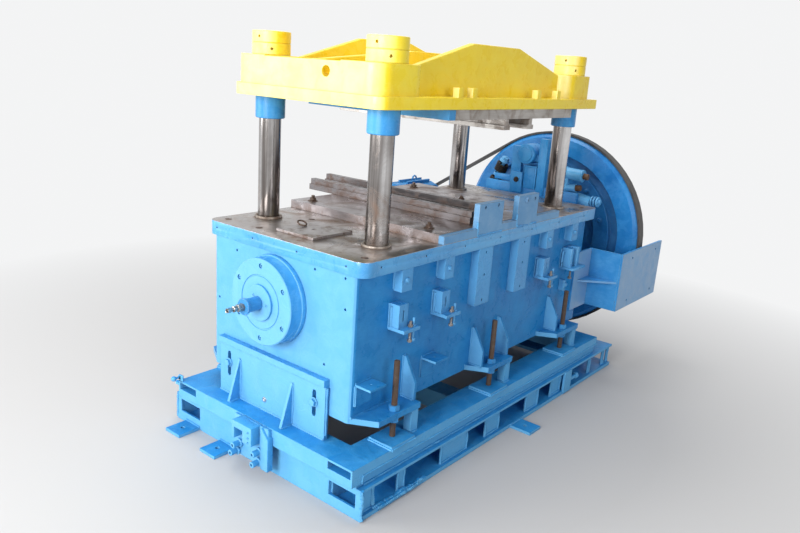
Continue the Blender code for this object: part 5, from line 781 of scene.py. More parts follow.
def sunk_screw(radius):
    """A countersunk screw level with its plate: a dark rim, a head and its hexagon hole."""
    ring = turned("Z", (0, 0), [(radius * 1.12, 0), (radius * 1.1, 0.0005), (radius, 0.0005),
                                (radius * 0.96, 0)], 24)
    return [ring, cap_screw(radius * 0.9, 0.0012, radius * 0.48, 24)]


bed_spots = [(-0.466, 0.289), (-0.466, -0.195), (-0.485, -0.451), (0.427, 0.301), (0.529, -0.036),
             (0.575, -0.4), (0.9, -0.43), (-0.93, -0.43), (-0.93, 0.39), (0.9, 0.39), (0.0, 0.43)]
bed_spots += [(x, 0.18) for x in (-0.93, -0.62, 0.62)]
set_out("bed_screws", sunk_screw(0.014), [((x, y, BED_TOP), (0, 0, 1)) for x, y in bed_spots], screw_dark,
        "frame", spin=1.0, seed=12)


# Bolster plate and die rails. The real ones are a second ground plate on the bed and two stepped rails
# bolted across it, planed bare and gone brown, with the marks of the cutter along them.

bolster_steel = steel("oiled bolster steel", (0.45, 0.43, 0.445), (0.23, 0.205, 0.21), (0.13, 0.07, 0.045),
                      amount=0.28, gloss=0.2, scratch=(120.0, 14.0, 60.0), spots=6.0)
rail_steel = steel("planed rail steel", (0.25, 0.24, 0.25), (0.11, 0.10, 0.10), (0.12, 0.07, 0.05),
                   amount=0.24, gloss=0.26, scratch=(160.0, 5.0, 160.0), spots=12.0)
dress(bolster_steel, "bolster_plate")
dress(rail_steel, "lower_die_rail_1", "lower_die_rail_2")
BOLSTER_TOP = 1.0483
bolster_spots = [(x, y) for x in (-0.44, 0.36) for y in (-0.36, 0.36)] + [(0.25, -0.05)]
set_out("bolster_screws", [turned("Z", (0, 0), [(0.024, 0), (0.024, 0.002), (0.023, 0.003)], 28),
                           hexagon("Z", (0, 0), 0.0165, (0.003, 0.0165)),
                           turned("Z", (0, 0), [(0.0085, 0.01), (0.0085, 0.027), (0.007, 0.0285)], 24)],
        [((x, y, BOLSTER_TOP + 0.0002), (0, 0, 1)) for x, y in bolster_spots], screw_dark, "frame",
        spin=1.0, seed=14)


# Loose cover plate. The real one is a small flat plate lying on the bed, with a drilled hole and a
# round ring to lift it by.

cover_steel = steel("cover plate steel", (0.50, 0.485, 0.49), (0.27, 0.25, 0.25), (0.12, 0.065, 0.045),
                    amount=0.26, gloss=0.24, scratch=(30.0, 90.0, 30.0), spots=14.0)
COVER_TOP = 1.0223


def ring(axis, centre, along, radius, bar, sides=40, bar_sides=12):
    """A round bar bent into a closed ring."""
    turns = [math.tau * i / bar_sides for i in range(bar_sides)]
    return turned(axis, centre, [(radius + bar * math.cos(t), along + bar * math.sin(t)) for t in turns],
                  sides, closed=True)


def leaning(bm, spot, tilt):
    """A shape standing on the origin, turned about X and put at a spot."""
    bmesh.ops.rotate(bm, verts=bm.verts, cent=(0, 0, 0), matrix=Matrix.Rotation(math.radians(tilt), 3, "X"))
    bmesh.ops.translate(bm, verts=bm.verts, vec=spot)
    return bm


cover = cut_together(block((-0.9055, -0.6705), (-0.123, 0.099), (1.0103, COVER_TOP)),
                     turned("Z", (-0.788, -0.012), [(0.011, 1.0), (0.011, 1.04)], 32), "DIFFERENCE")
piece("cover_plate", [cover], cover_steel, "frame", replaces=["loose_cover_plate"],
      bevel=0.0008, segments=1)
lifting_ring = leaning(ring("Z", (0, 0.0195), 0, 0.0195, 0.0038), (-0.786, 0.05, COVER_TOP + 0.0042), 24)
piece("cover_ring", [lifting_ring], screw_dark, "frame")


# Side posts, side bar and feed brackets. The real ones are blocks of bar screwed to the near side for
# a feed unit. Two tall lugs stand above the bed, worn to a paler grey-blue than the rest, and each of
# the small brackets holds an adjusting screw in a drilled foot.

worn_blue = paint("worn grey-blue enamel", (0.15, 0.34, 0.56), (0.07, 0.25, 0.50), (0.30, 0.46, 0.64),
                  wear=0.55, dirt_and_shade=0.25, gloss=0.34, under=(0.23, 0.21, 0.2), depth=0.0012)
# Painted light: its faces toward the lit side take a paler tone.
post_blue = paint("post blue enamel", (0.05, 0.30, 0.66), (0.022, 0.19, 0.50), (0.13, 0.44, 0.78), wear=0.35,
                  dirt_and_shade=0.35, gloss=0.24, depth=0.0012, lit_side_tone=(0.14, 0.42, 0.71), facing=(-0.85, -0.53, 0))
dress(worn_blue, "side_bar")
dress(post_blue, "side_post_1", "side_post_2", *[f"{level}_side_bracket_{n}" for level in ("upper", "lower")
                                                 for n in range(1, 5)])
BRACKET_XS = (-0.735, -0.447, 0.447, 0.733)
BRACKET_TOP, BRACKET_BOTTOM, WALL_FACE = 0.8053, 0.6933, NEAR_WALL - 0.0003
fork = [(WALL_FACE, 0.693), (WALL_FACE, 0.814), (-0.508, 0.814), (-0.508, 0.693)]
fork_parts = [prism("X", fork, (0.692, 0.719)), prism("X", fork, (0.762, 0.795)),
              block((0.71, 0.77), (-0.468, WALL_FACE), (0.693, 0.814)),
              block((0.683, 0.83), (-0.5345, WALL_FACE), (BRACKET_BOTTOM, BRACKET_BOTTOM + 0.014)),
              block((0.7, 0.725), (-0.482, WALL_FACE), (0.565, 0.628)),
              turned("X", (-0.478, 0.6), [(0.014, 0.699), (0.014, 0.727)], 24)]
piece("forked_bracket", fork_parts, post_blue, "frame", replaces=["lower_side_bracket_4"],
      bevel=0.002)
screw_steel = steel("bright adjusting screw", (0.44, 0.43, 0.42), (0.24, 0.23, 0.22), (0.13, 0.105, 0.09),
                    amount=0.3, gloss=0.34, spots=40.0, thread=80.0, reach=0.001, depth=0.0008)
adjusting = [((x + 0.01, WALL_FACE - 0.066, BRACKET_BOTTOM - 0.0505), (0, 0, 1)) for x in BRACKET_XS[:3]]
adjusting.append(((0.741, -0.49, BRACKET_BOTTOM - 0.06), (0, 0, 1)))
set_out("adjusting_screws", [turned("Z", (0, 0), [(0.0058, 0), (0.0058, 0.088), (0.0048, 0.0895)], 20),
                             hexagon("Z", (0, 0), 0.0105, (-0.0005, 0.0105)),
                             hexagon("Z", (0, 0), 0.0105, (0.0645, 0.0745))], adjusting, screw_steel, "frame",
        spin=1.0, seed=23)
bracket_runs = []
for x in BRACKET_XS:
    bracket_runs.append([(x - 0.05, WALL_FACE + 0.001, BRACKET_BOTTOM + 0.004),
                         (x - 0.05, WALL_FACE + 0.001, BRACKET_TOP)])
    bracket_runs.append([(x - 0.05, WALL_FACE - 0.012, BRACKET_TOP - 0.01),
                         (x - 0.05, WALL_FACE - 0.012, BRACKET_BOTTOM + 0.012)])
    bracket_runs.append([(x - 0.033, WALL_FACE + 0.001, 0.862), (x - 0.033, WALL_FACE + 0.001, 0.94)])
for x, width in ((-0.152, 0.2), (0.1785, 0.187)):
    bracket_runs.append([(x - width / 2, BED_NEAR + 0.002, 1.013), (x + width / 2, BED_NEAR + 0.002, 1.013)])
    bracket_runs.append([(x - width / 2, BED_NEAR + 0.004, 1.015), (x - width / 2, BED_NEAR + 0.004, 1.075)])
welds("bracket_welds", bracket_runs, post_blue, width=0.0055, waver=0.009, seed=13.0)
bracket_screws = [((x, BED_NEAR, 0.9), (0, -1, 0)) for x in BRACKET_XS]
set_out("bar_bolt", [turned("Z", (0, 0), [(0.0155, 0), (0.0155, 0.002), (0.0145, 0.0025)], 28),
                     cap_screw(0.0115, 0.009, 0.0055)], [((0.156, BED_NEAR, 1.137), (0, -1, 0))], worn_blue,
        "frame", seed=15)
set_out("bracket_screws", [turned("Z", (0, 0), [(0.014, 0), (0.014, 0.002), (0.013, 0.0025)], 24),
                           hexagon("Z", (0, 0), 0.0105, (0.002, 0.009))],
        bracket_screws, post_blue, "frame", spin=1.0, seed=16)


# Front bearing cover. The real one is a turned flange on the housing's front that holds the crankshaft's
# bearing, with a hub, a groove, six screws sunk in the hub and a raised cap round the shaft's nose.

COVER_BACK, COVER_FLANGE, COVER_FACE, CAP_FACE = -0.9923, -1.0123, -1.0723, -1.0843
# Painted light: its front faces take a paler tone.
cover_blue = paint("bearing cover enamel", (0.05, 0.31, 0.67), (0.024, 0.21, 0.53), (0.13, 0.45, 0.8),
                   wear=0.2, dirt_and_shade=0.3, gloss=0.18, reach=0.003, depth=0.0009, brush=0.4,
                   lit_side_tone=(0.17, 0.45, 0.71))
hub = turned("X", (0, CRANK_Z), [(0.0556, -0.9723), (0.0997, -0.9723), (0.0997, COVER_BACK),
                                 (0.19, COVER_BACK), (0.19, COVER_FLANGE + 0.003), (0.188, COVER_FLANGE),
                                 (0.186, COVER_FLANGE), (0.184, COVER_FLANGE - 0.003),
                                 (0.184, COVER_FACE + 0.004), (0.18, COVER_FACE), (0.1175, COVER_FACE),
                                 (0.116, COVER_FACE + 0.003), (0.112, COVER_FACE + 0.003),
                                 (0.1105, COVER_FACE), (0.0775, COVER_FACE), (0.077, COVER_FACE - 0.001),
                                 (0.077, CAP_FACE + 0.003), (0.074, CAP_FACE), (0.0296, CAP_FACE),
                                 (0.0296, -1.0484), (0.0556, -1.0484)], 160, closed=True)
bolt_turns = [math.tau * (turn + 0.5) / 6 for turn in range(6)]
for turn in bolt_turns:
    spot = (0.155 * math.cos(turn), CRANK_Z + 0.155 * math.sin(turn))
    hub = cut_together(hub, turned("X", spot, [(0.0105, -1.1), (0.0105, COVER_FACE + 0.012)], 28),
                       "DIFFERENCE")
piece("bearing_cover", [hub], cover_blue, "frame", replaces=["front_bearing_cover"])
sunk = [((COVER_FACE + 0.0125, 0.155 * math.cos(t), CRANK_Z + 0.155 * math.sin(t)), (-1, 0, 0))
        for t in bolt_turns]
set_out("cover_screws", [cap_screw(0.0085, 0.009, 0.004)], sunk, cover_blue, "frame", spin=1.0,
        seed=17)
small = [((CAP_FACE, y, z), (-1, 0, 0)) for y, z in ((0.028, 0.78), (-0.053, 0.751))]
set_out("cover_set_screws", [cap_screw(0.006, 0.003, 0.003, 20)], small, cover_blue, "frame",
        spin=1.0, seed=18)


# Crankshaft, rods and crosshead. The real shaft is ground steel with an eccentric sheave for each rod and
# a clutch drum behind the housing. The rods and the crosshead are castings inside the housing, black
# with oil, and only the shaft's nose is painted.

shaft_steel = steel("ground shaft steel", (0.50, 0.48, 0.46), (0.30, 0.27, 0.25), (0.12, 0.08, 0.06),
                    amount=0.2, gloss=0.22, scratch=(90.0, 6.0, 6.0))
black_casting = steel("oily casting", (0.13, 0.125, 0.12), (0.06, 0.055, 0.052), (0.05, 0.035, 0.025),
                      amount=0.4, gloss=0.45, scratch=(30.0, 30.0, 30.0), spots=16.0, depth=0.0008)
shaft = turned("X", (0, CRANK_Z), [(0.053, -1.045), (0.055, -1.043), (0.055, 1.468), (0.053, 1.47)], 96)
sheaves = [turned("X", (0, CRANK_Z + 0.025), [(0.083, x - 0.05), (0.085, x - 0.048), (0.085, x + 0.048),
                                              (0.083, x + 0.05)], 96) for x in (-0.35, 0.35)]
drum = turned("X", (0, CRANK_Z), [(0.051, 1.19), (0.098, 1.19), (0.1, 1.192), (0.1, 1.26875),
                                  (0.21375, 1.26875), (0.21375, 1.192), (0.2155, 1.19), (0.238, 1.19),
                                  (0.24, 1.192), (0.24, 1.293), (0.238, 1.295), (0.051, 1.295)], 128,
              closed=True)
piece("crank", [shaft, drum] + sheaves, shaft_steel, "crank", replaces=["crankshaft"])
nose_blue = paint("shaft nose enamel", (0.04, 0.28, 0.64), (0.018, 0.17, 0.46), (0.11, 0.42, 0.78), wear=0.8,
                  dirt_and_shade=0.4, gloss=0.22, reach=0.002, depth=0.0008, under=(0.35, 0.33, 0.31))
piece("crank_nose", [turned("X", (0, CRANK_Z), [(0.033, -1.16), (0.035, -1.158), (0.035, -1.15),
                                                (0.033, -1.148), (0.029, -1.148), (0.029, -1.041),
                                                (0.027, -1.041)], 72)], nose_blue, "crank")
dress(black_casting, "lower_crosshead", "connecting_rod_1", "connecting_rod_2")


# Shaft fitting. The real one is a rotary union screwed into the shaft's nose: a hexagon, a ring and a
# hollow spigot for an air hose, its chrome dull with grease.

chrome = steel("chromed fitting", (0.60, 0.60, 0.60), (0.16, 0.155, 0.15), (0.13, 0.12, 0.11), amount=0.12,
               gloss=0.16, scratch=(240.0, 30.0, 30.0), reach=0.0006, streak=0.9)
union = [hexagon("X", (0, CRANK_Z), 0.016, (-1.1883, -1.1603)),
         turned("X", (0, CRANK_Z), [(0.006, -1.225), (0.0065, -1.2385), (0.0085, -1.2403), (0.01, -1.2385),
                                    (0.01, -1.218), (0.0085, -1.216), (0.0085, -1.21), (0.0125, -1.208),
                                    (0.0125, -1.2), (0.0105, -1.198), (0.0105, -1.186)], 40)]
piece("rotary_union", union, chrome, "crank", replaces=["shaft_fitting"])


# Guide bushings, pillars, collars and nuts. The real pillars are ground and polished steel, and slide in
# flanged bushings in the bed. A painted sleeve stands under the platen on each of them, and two round
# spanner nuts, locked against each other, hold the platen on its end.

# Painted reflection: the strong dark and bright streaks along the pillars stand in for reflections, as well
# as polish marks.
pillar_steel = steel("polished pillar steel", (0.74, 0.73, 0.73), (0.13, 0.11, 0.10), (0.16, 0.10, 0.07),
                     amount=0.1, gloss=0.1, scratch=(26.0, 26.0, 0.5), spots=5.0, depth=0.00012, streak=0.95)
bushing_steel = steel("bushing bronze grey", (0.42, 0.39, 0.35), (0.2, 0.17, 0.15), (0.1, 0.06, 0.04),
                      amount=0.3, gloss=0.3)
PLATEN_BOTTOM, PLATEN_TOP, BOSS_TOP = 1.559, 1.6078, 1.7268
places = [((x, y, 0), (0, 0, 1)) for x, y in PILLARS]
pillar = turned("Z", (0, 0), [(0.031, 0.408), (0.033, 0.41), (0.033, 0.5003), (0.047, 0.5003), (0.049, 0.503),
                              (0.049, 1.5587), (0.043, 1.5587), (0.043, 1.815), (0.038, 1.8191)], 96)
set_out("pillars", [pillar], places, pillar_steel, "slide",
        replaces=[f"pillar_{n}" for n in range(1, 5)])
bushing = turned("Z", (0, 0), [(0.0496, 0.9033), (0.0525, 0.9033), (0.054, 0.905), (0.054, BED_TOP + 0.0003),
                               (0.062, BED_TOP + 0.0003), (0.062, BED_TOP + 0.0083),
                               (0.0605, BED_TOP + 0.0103), (0.0515, BED_TOP + 0.0103),
                               (0.0496, BED_TOP + 0.0085)], 80, closed=True)
set_out("bushings", [bushing], places, bushing_steel, "frame",
        replaces=[f"guide_bushing_{n}" for n in range(1, 5)])
collar_blue = paint("collar enamel", (0.06, 0.32, 0.68), (0.03, 0.22, 0.54), (0.14, 0.46, 0.8), wear=0.3,
                    dirt_and_shade=0.15, gloss=0.24, reach=0.002, depth=0.0008)
collar = turned("Z", (0, 0), [(0.0493, 1.4587), (0.061, 1.4587), (0.065, 1.4627), (0.065, 1.5587),
                              (0.0493, 1.5587)], 80, closed=True)
set_out("collars", [collar], places, collar_blue, "slide",
        replaces=[f"pillar_collar_{n}" for n in range(1, 5)])

# Painted light: its front faces take a paler, whiter yellow.
yellow = paint("platen yellow enamel", (0.95, 0.74, 0.03), (0.86, 0.60, 0.016), (0.98, 0.85, 0.16), wear=0.16,
               dirt_and_shade=0.14, gloss=0.24, under=(0.16, 0.10, 0.05), dirt_and_shade_colour=(0.28, 0.18, 0.04), brush=0.5,
               depth=0.0013, lit_side_tone=(0.93, 0.84, 0.36))
NUT_BOTTOM, NUT_MIDDLE, NUT_TOP, NUT_R = 1.7271, 1.7761, 1.8251, 0.0825
nut = turned("Z", (0, 0), [(0.0433, NUT_BOTTOM), (NUT_R - 0.002, NUT_BOTTOM), (NUT_R, NUT_BOTTOM + 0.002),
                           (NUT_R, NUT_MIDDLE - 0.0025), (NUT_R - 0.003, NUT_MIDDLE),
                           (NUT_R, NUT_MIDDLE + 0.0025), (NUT_R, NUT_TOP - 0.003), (NUT_R - 0.003, NUT_TOP),
                           (0.046, NUT_TOP), (0.0433, NUT_TOP - 0.003)], 96, closed=True)
for level, turns in ((NUT_BOTTOM + 0.0245, (-70, 50, 170)), (NUT_BOTTOM + 0.0735, (-110, 10, 130))):
    for turn in turns:
        drill = turned("X", (0, level), [(0.006, NUT_R - 0.02), (0.006, NUT_R + 0.02)], 24)
        bmesh.ops.rotate(drill, verts=drill.verts, cent=(0, 0, 0),
                         matrix=Matrix.Rotation(math.radians(turn), 3, "Z"))
        nut = cut_together(nut, drill, "DIFFERENCE")
set_out("spanner_nuts", [nut], places, yellow, "slide",
        replaces=[f"pillar_nut_{n}" for n in range(1, 5)])


# Upper platen. The real one is a yellow casting: a flat plate with a round boss block over each pillar,
# an end wall at each end and three humped ribs between them, with four lugs on its near edge.

def eased(bm, width, segments=3):
    """A closed shape with all its sharp edges rounded off."""
    bmesh.ops.recalc_face_normals(bm, faces=bm.faces)
    edges = [e for e in bm.edges if e.calc_face_angle(0.0) > math.radians(30)]
    bmesh.ops.bevel(bm, geom=edges, offset=width, segments=segments, profile=0.6, affect="EDGES",
                    clamp_overlap=True)
    return bm


def boss_block(x, y):
    """A pillar's boss block, with wide rounds on the platen's long side."""
    to_x, to_y = math.copysign(1, x), math.copysign(1, y)
    side, end, inner = y + to_y * 0.085, x + to_x * 0.138, x - to_x * 0.155
    corner = arc((0, 0), 0.08, 0, 90, 10)
    outline = [(end, y - to_y * 0.115)] + [(end - to_x * (0.08 - a), side - to_y * (0.08 - b))
                                           for a, b in corner]
    outline += [(inner + to_x * (0.08 - b), side - to_y * (0.08 - a))
                for a, b in corner] + [(inner, y - to_y * 0.115)]
    return eased(prism("Z", outline, (PLATEN_TOP - 0.004, BOSS_TOP)), 0.004)


platen_corners = ((0.915, 0.42, 0.012), (-0.895, 0.42, 0.055), (-0.895, -0.435, 0.055),
                  (0.915, -0.435, 0.012))
platen = eased(prism("Z", round_plate(platen_corners, 8), (PLATEN_BOTTOM, PLATEN_TOP)), 0.003)
root = PLATEN_TOP - 0.004
for x, y in PILLARS:
    platen = cut_together(platen, boss_block(x, y), "UNION")
for way in (-1, 1):
    wall = block(sorted((way * 0.888, way * 0.843)), (-0.295, 0.295), (root, BOSS_TOP - 0.004))
    platen = cut_together(platen, eased(wall, 0.004), "UNION")
high, peak = BOSS_TOP - 0.004, BOSS_TOP + 0.105
hump = [(root, -0.75), (high, -0.75), (high, -0.595), (peak, -0.19), (peak, 0.19), (high, 0.595),
        (high, 0.75), (root, 0.75)]
for y in (-0.33, 0.33):
    platen = cut_together(platen, eased(prism("Y", hump, (y - 0.0175, y + 0.0175)), 0.005), "UNION")
high, peak = BOSS_TOP - 0.008, BOSS_TOP + 0.06
hump = [(root, -0.8655), (high, -0.8655), (peak, -0.19), (peak, 0.19), (high, 0.8655), (root, 0.8655)]
platen = cut_together(platen, eased(prism("Y", hump, (-0.0175, 0.0175)), 0.005), "UNION")
for x in (-0.385, -0.282, 0.272, 0.47):
    lug = block((x - 0.018, x + 0.018), (-0.431, -0.4), (root, PLATEN_TOP + 0.04))
    platen = cut_together(platen, eased(lug, 0.003), "UNION")
for x, y in PILLARS:
    platen = cut_together(platen, turned("Z", (x, y), [(0.0433, 1.5), (0.0433, 1.76)], 64), "DIFFERENCE")
platen = cut_together(platen, turned("X", (-0.143, 1.6818), [(0.022, -0.93), (0.022, -0.82)], 40),
                      "DIFFERENCE")
piece("platen", [platen], yellow, "slide", replaces=["upper_platen"])


# Upper die plate and spacer. The real ones are a ground steel plate screwed under the platen, with two
# T-shaped rails across it for the upper tools, and a painted spacer beside it.

die_steel = steel("ground die plate steel", (0.46, 0.44, 0.42), (0.24, 0.22, 0.2), (0.14, 0.09, 0.06),
                  amount=0.18, gloss=0.26, scratch=(8.0, 140.0, 140.0), spots=8.0)
dress(die_steel, "upper_die_plate")
spacer_blue = paint("spacer enamel", (0.04, 0.28, 0.62), (0.02, 0.19, 0.48), (0.1, 0.4, 0.74), wear=0.4,
                    dirt_and_shade=0.3)
dress(spacer_blue, "die_spacer")


# Rear bearing housing and brake bracket. The real ones are a turned flange on the rear wall and, on
# arms behind it, the brake's plate with two posts, a boss, two springs on a slanting rod and two small
# air cylinders side by side.

bracket_blue = paint("bracket enamel", (0.036, 0.27, 0.62), (0.016, 0.17, 0.47), (0.09, 0.4, 0.76), wear=0.25,
                     dirt_and_shade=0.3, gloss=0.26, depth=0.0012)
pale_blue = paint("pale cylinder enamel", (0.13, 0.42, 0.74), (0.07, 0.32, 0.62), (0.26, 0.54, 0.82),
                  wear=0.25, dirt_and_shade=0.2, gloss=0.3, reach=0.002, depth=0.0006)
spring_black = steel("black spring steel", (0.035, 0.033, 0.032), (0.012, 0.011, 0.011), (0.05, 0.025, 0.015),
                     amount=0.15, gloss=0.45, reach=0.001)
cap_brown = steel("brown end cap", (0.22, 0.16, 0.12), (0.11, 0.075, 0.055), (0.10, 0.045, 0.02), amount=0.5,
                  gloss=0.5, spots=30.0, reach=0.001)
dress(bracket_blue, "rear_bearing_housing", "motor_bracket")


def helix(radius, wire, low, high, turns, sides=12, steps=28):
    """A coil spring along Z with closed ends."""
    bm = bmesh.new()
    rings = []
    total = int(turns * steps)
    for i in range(total + 1):
        share = i / total
        turn = share * turns * math.tau
        centre = Vector((radius * math.cos(turn), radius * math.sin(turn),
                         low + wire + (high - low - 2 * wire) * share))
        out = Vector((math.cos(turn), math.sin(turn), 0))
        loop = []
        for side in range(sides):
            angle = math.tau * side / sides
            rise = Vector((0, 0, wire * math.sin(angle)))
            loop.append(bm.verts.new(centre + out * wire * math.cos(angle) + rise))
        rings.append(loop)
    for first, second in zip(rings, rings[1:]):
        for side in range(sides):
            bm.faces.new((first[side], first[(side + 1) % sides], second[(side + 1) % sides], second[side]))
    bm.faces.new(reversed(rings[0]))
    bm.faces.new(rings[-1])
    bmesh.ops.recalc_face_normals(bm, faces=bm.faces)
    return bm


PLATE = (1.1, 1.125)
frame_parts = [block(PLATE, (-0.3, 0.34), (0.855, 1.05)),
               block((1.085, 1.125), (-0.079, -0.026), (1.0, 1.345)),
               block((1.092, 1.125), (0.096, 0.163), (1.045, 1.284)),
               block((1.075, 1.11), (0.07, 0.15), (1.0, 1.125)),
               block((1.09, 1.16), (-0.0215, 0.066), (1.03, 1.173)),
               block((1.084, 1.092), (-0.0215, 0.066), (1.163, 1.173)),
               block((1.084, 1.092), (-0.0215, -0.012), (1.03, 1.168)),
               block((1.105, 1.12), (-0.03, 0.1), (1.2, 1.24)),
               turned("X", (0.058, 1.243), [(0.045, 1.062), (0.047, 1.064), (0.047, 1.068), (0.058, 1.068),
                                            (0.062, 1.072), (0.062, 1.187), (0.059, 1.19)], 56)]
frame_parts += [block((0.9553, 1.104), span, (0.878, 0.948)) for span in ((-0.3, -0.26), (0.3, 0.34))]
piece("brake_frame", frame_parts, bracket_blue, "frame", replaces=["brake_bracket"],
      bevel=0.002)
set_out("brake_bolt", [turned("Z", (0, 0), [(0.017, 0), (0.017, 0.003), (0.015, 0.004)], 24),
                       hexagon("Z", (0, 0), 0.0125, (0.003, 0.015))], [((1.075, 0.108, 1.078), (-1, 0, 0))],
        spring_black, "frame")

ROD_SPOT, ROD_TILT = (1.163, 0.295, 1.077), 22
rod = turned("Z", (0, 0), [(0.011, -0.145), (0.013, -0.143), (0.013, 0.128), (0.011, 0.13)], 28)
collars = [turned("Z", (0, 0), [(0.0131, at - 0.008), (0.029, at - 0.008), (0.031, at - 0.006),
                                (0.031, at + 0.006), (0.029, at + 0.008), (0.0131, at + 0.008)], 40,
                  closed=True) for at in (-0.1, 0.0, 0.1)]
nut = turned("Z", (0, 0), [(0.0131, 0.108), (0.024, 0.108), (0.025, 0.11), (0.025, 0.124), (0.0131, 0.126)],
             6, closed=True)
piece("brake_rod", [leaning(part, ROD_SPOT, ROD_TILT) for part in [rod, nut] + collars], pale_blue, "frame")
coils = [helix(0.034, 0.0075, at - 0.034, at + 0.034, 4.5) for at in (-0.053, 0.053)]
piece("brake_springs", [leaning(coil, ROD_SPOT, ROD_TILT) for coil in coils], spring_black, "frame")
piece("brake_rod_block", [block((1.12, 1.163), (0.15, 0.296), (1.056, 1.092))], bracket_blue, "frame",
      bevel=0.003)

barrels, barrel_caps = [], []
for y, z, radius, half, tilt, cap in ((-0.25, 1.155, 0.035, 0.06, 3, 0.0185),
                                      (-0.235, 1.072, 0.023, 0.036, -6, 0.0185)):
    lid, spot = radius * 1.06, (1.141, y, z)
    body = turned("Y", (0, 0), [(radius * 0.9, -half), (lid, -half + 0.002), (lid, -half + 0.014),
                                (radius, -half + 0.015), (radius, half - 0.015), (lid, half - 0.014),
                                (lid, half - 0.002), (radius * 0.9, half)], 48)
    tip = turned("Y", (0, 0), [(cap - 0.002, -half - 0.03), (cap, -half - 0.028), (cap, -half + 0.001),
                               (cap - 0.002, -half + 0.001)], 36)
    stem = turned("Y", (0, 0), [(0.009, half - 0.001), (0.009, half + 0.022), (0.007, half + 0.024)], 20)
    barrels.append(leaning(body, spot, tilt))
    barrel_caps += [leaning(tip, spot, tilt), leaning(stem, spot, tilt)]
    foot = z - 0.12 if z < 1.1 else z - 0.1
    barrels.append(block((1.12, 1.145), (y + half / 2, y + half * 0.8), (foot, z)))
reservoir = turned("Y", (0, 0), [(0.03, -0.068), (0.034, -0.064), (0.036, -0.05), (0.036, 0.05),
                                 (0.034, 0.06), (0.03, 0.064)], 56)
barrels.append(leaning(reservoir, (1.158, -0.3, 1.008), 8))
neck = turned("Y", (0, 0), [(0.015, -0.13), (0.015, -0.06)], 24)
fins = [turned("Y", (0, 0), [(0.012, at), (0.03, at), (0.031, at + 0.001), (0.031, at + 0.007),
                             (0.03, at + 0.008), (0.012, at + 0.008)], 40, closed=True)
        for at in (-0.082, -0.1, -0.118)]
barrels += [leaning(part, (1.158, -0.3, 1.012), 0) for part in [neck] + fins]
piece("brake_cylinders", barrels, pale_blue, "frame")
piece("brake_cylinder_caps", barrel_caps, cap_brown, "frame")


# Rear box bracket. The real one is welded of thick plate behind the near corner of the housing. Its sides
# that face away from the press are painted a pale grey-blue as painted light.

# Painted light: its near-side faces take a paler grey-blue.
box_blue = paint("box bracket enamel", (0.055, 0.31, 0.66), (0.028, 0.22, 0.54), (0.13, 0.44, 0.78), wear=0.4,
                 dirt_and_shade=0.3, gloss=0.3, lit_side_tone=(0.25, 0.41, 0.60), facing=(0, -1, 0))
dress(box_blue, "rear_box_bracket")


# Flywheel. The real one is a heavy turned casting: a painted rim with a bare ground edge and, inside it,
# a web with a bolted clutch ring and a deep recess round the hub. The web is painted a darker blue than
# the rim, as painted shade in the recess.

WHEEL_FRONT, WHEEL_BACK, WHEEL_R = 1.335, 1.413, 0.614
wheel_blue = paint("flywheel enamel", (0.025, 0.24, 0.60), (0.01, 0.14, 0.44), (0.07, 0.36, 0.74), wear=0.2,
                   dirt_and_shade=0.25, gloss=0.2, reach=0.003, depth=0.001)
rim_steel = steel("rim edge steel", (0.25, 0.21, 0.185), (0.13, 0.105, 0.09), (0.11, 0.065, 0.04), amount=0.3,
                  gloss=0.34, scratch=(200.0, 6.0, 6.0), spots=5.0)
wheel = turned("X", (0, CRANK_Z), [(0.488, 1.362), (0.49, 1.338), (0.493, WHEEL_FRONT),
                                   (WHEEL_R - 0.024, WHEEL_FRONT), (WHEEL_R, WHEEL_FRONT + 0.024),
                                   (WHEEL_R, WHEEL_BACK - 0.003), (WHEEL_R - 0.003, WHEEL_BACK),
                                   (0.493, WHEEL_BACK), (0.49, WHEEL_BACK - 0.003), (0.488, 1.4)], 224,
               closed=True)
piece("wheel", [wheel], wheel_blue, "wheel", replaces=["flywheel"])
# Painted shade: the web's enamel is darker than the rim's to stand in for the shade in the recess.
web_shaded_blue = paint("flywheel web enamel with painted shade", (0.016, 0.155, 0.40), (0.007, 0.085, 0.26), (0.04, 0.24, 0.52),
                 wear=0.25, dirt_and_shade=0.5, gloss=0.28, reach=0.003, depth=0.001)
web = turned("X", (0, CRANK_Z), [
    (0.09, 1.34), (0.128, 1.34), (0.13, 1.342), (0.13, 1.369), (0.335, 1.369), (0.335, 1.332), (0.337, 1.33),
    (0.433, 1.33), (0.435, 1.332), (0.435, 1.358), (0.4895, 1.365), (0.4895, 1.399), (0.13, 1.399),
    (0.13, 1.433), (0.128, 1.435), (0.09, 1.435)], 192, closed=True)
piece("wheel_web", [web], web_shaded_blue, "wheel")
band = turned("X", (0, CRANK_Z), [(WHEEL_R - 0.001, 1.3605), (WHEEL_R + 0.0004, 1.3605),
                                  (WHEEL_R + 0.0004, 1.4095), (WHEEL_R - 0.001, 1.4095)], 224, closed=True)
piece("wheel_band", [band], rim_steel, "wheel")
ring_bolts = [((1.33, 0.385 * math.cos(math.tau * i / 12 + 0.2),
                CRANK_Z + 0.385 * math.sin(math.tau * i / 12 + 0.2)), (-1, 0, 0)) for i in range(12)]
set_out("wheel_bolts", [turned("Z", (0, 0), [(0.017, 0), (0.017, 0.003), (0.016, 0.004)], 24),
                        hexagon("Z", (0, 0), 0.0125, (0.003, 0.014))],
        ring_bolts, web_shaded_blue, "wheel", spin=1.0, seed=21)


# Drive belt. The real one is a flat black rubber belt round the flywheel's rim and the motor's pulley,
# dusty and polished on its back.

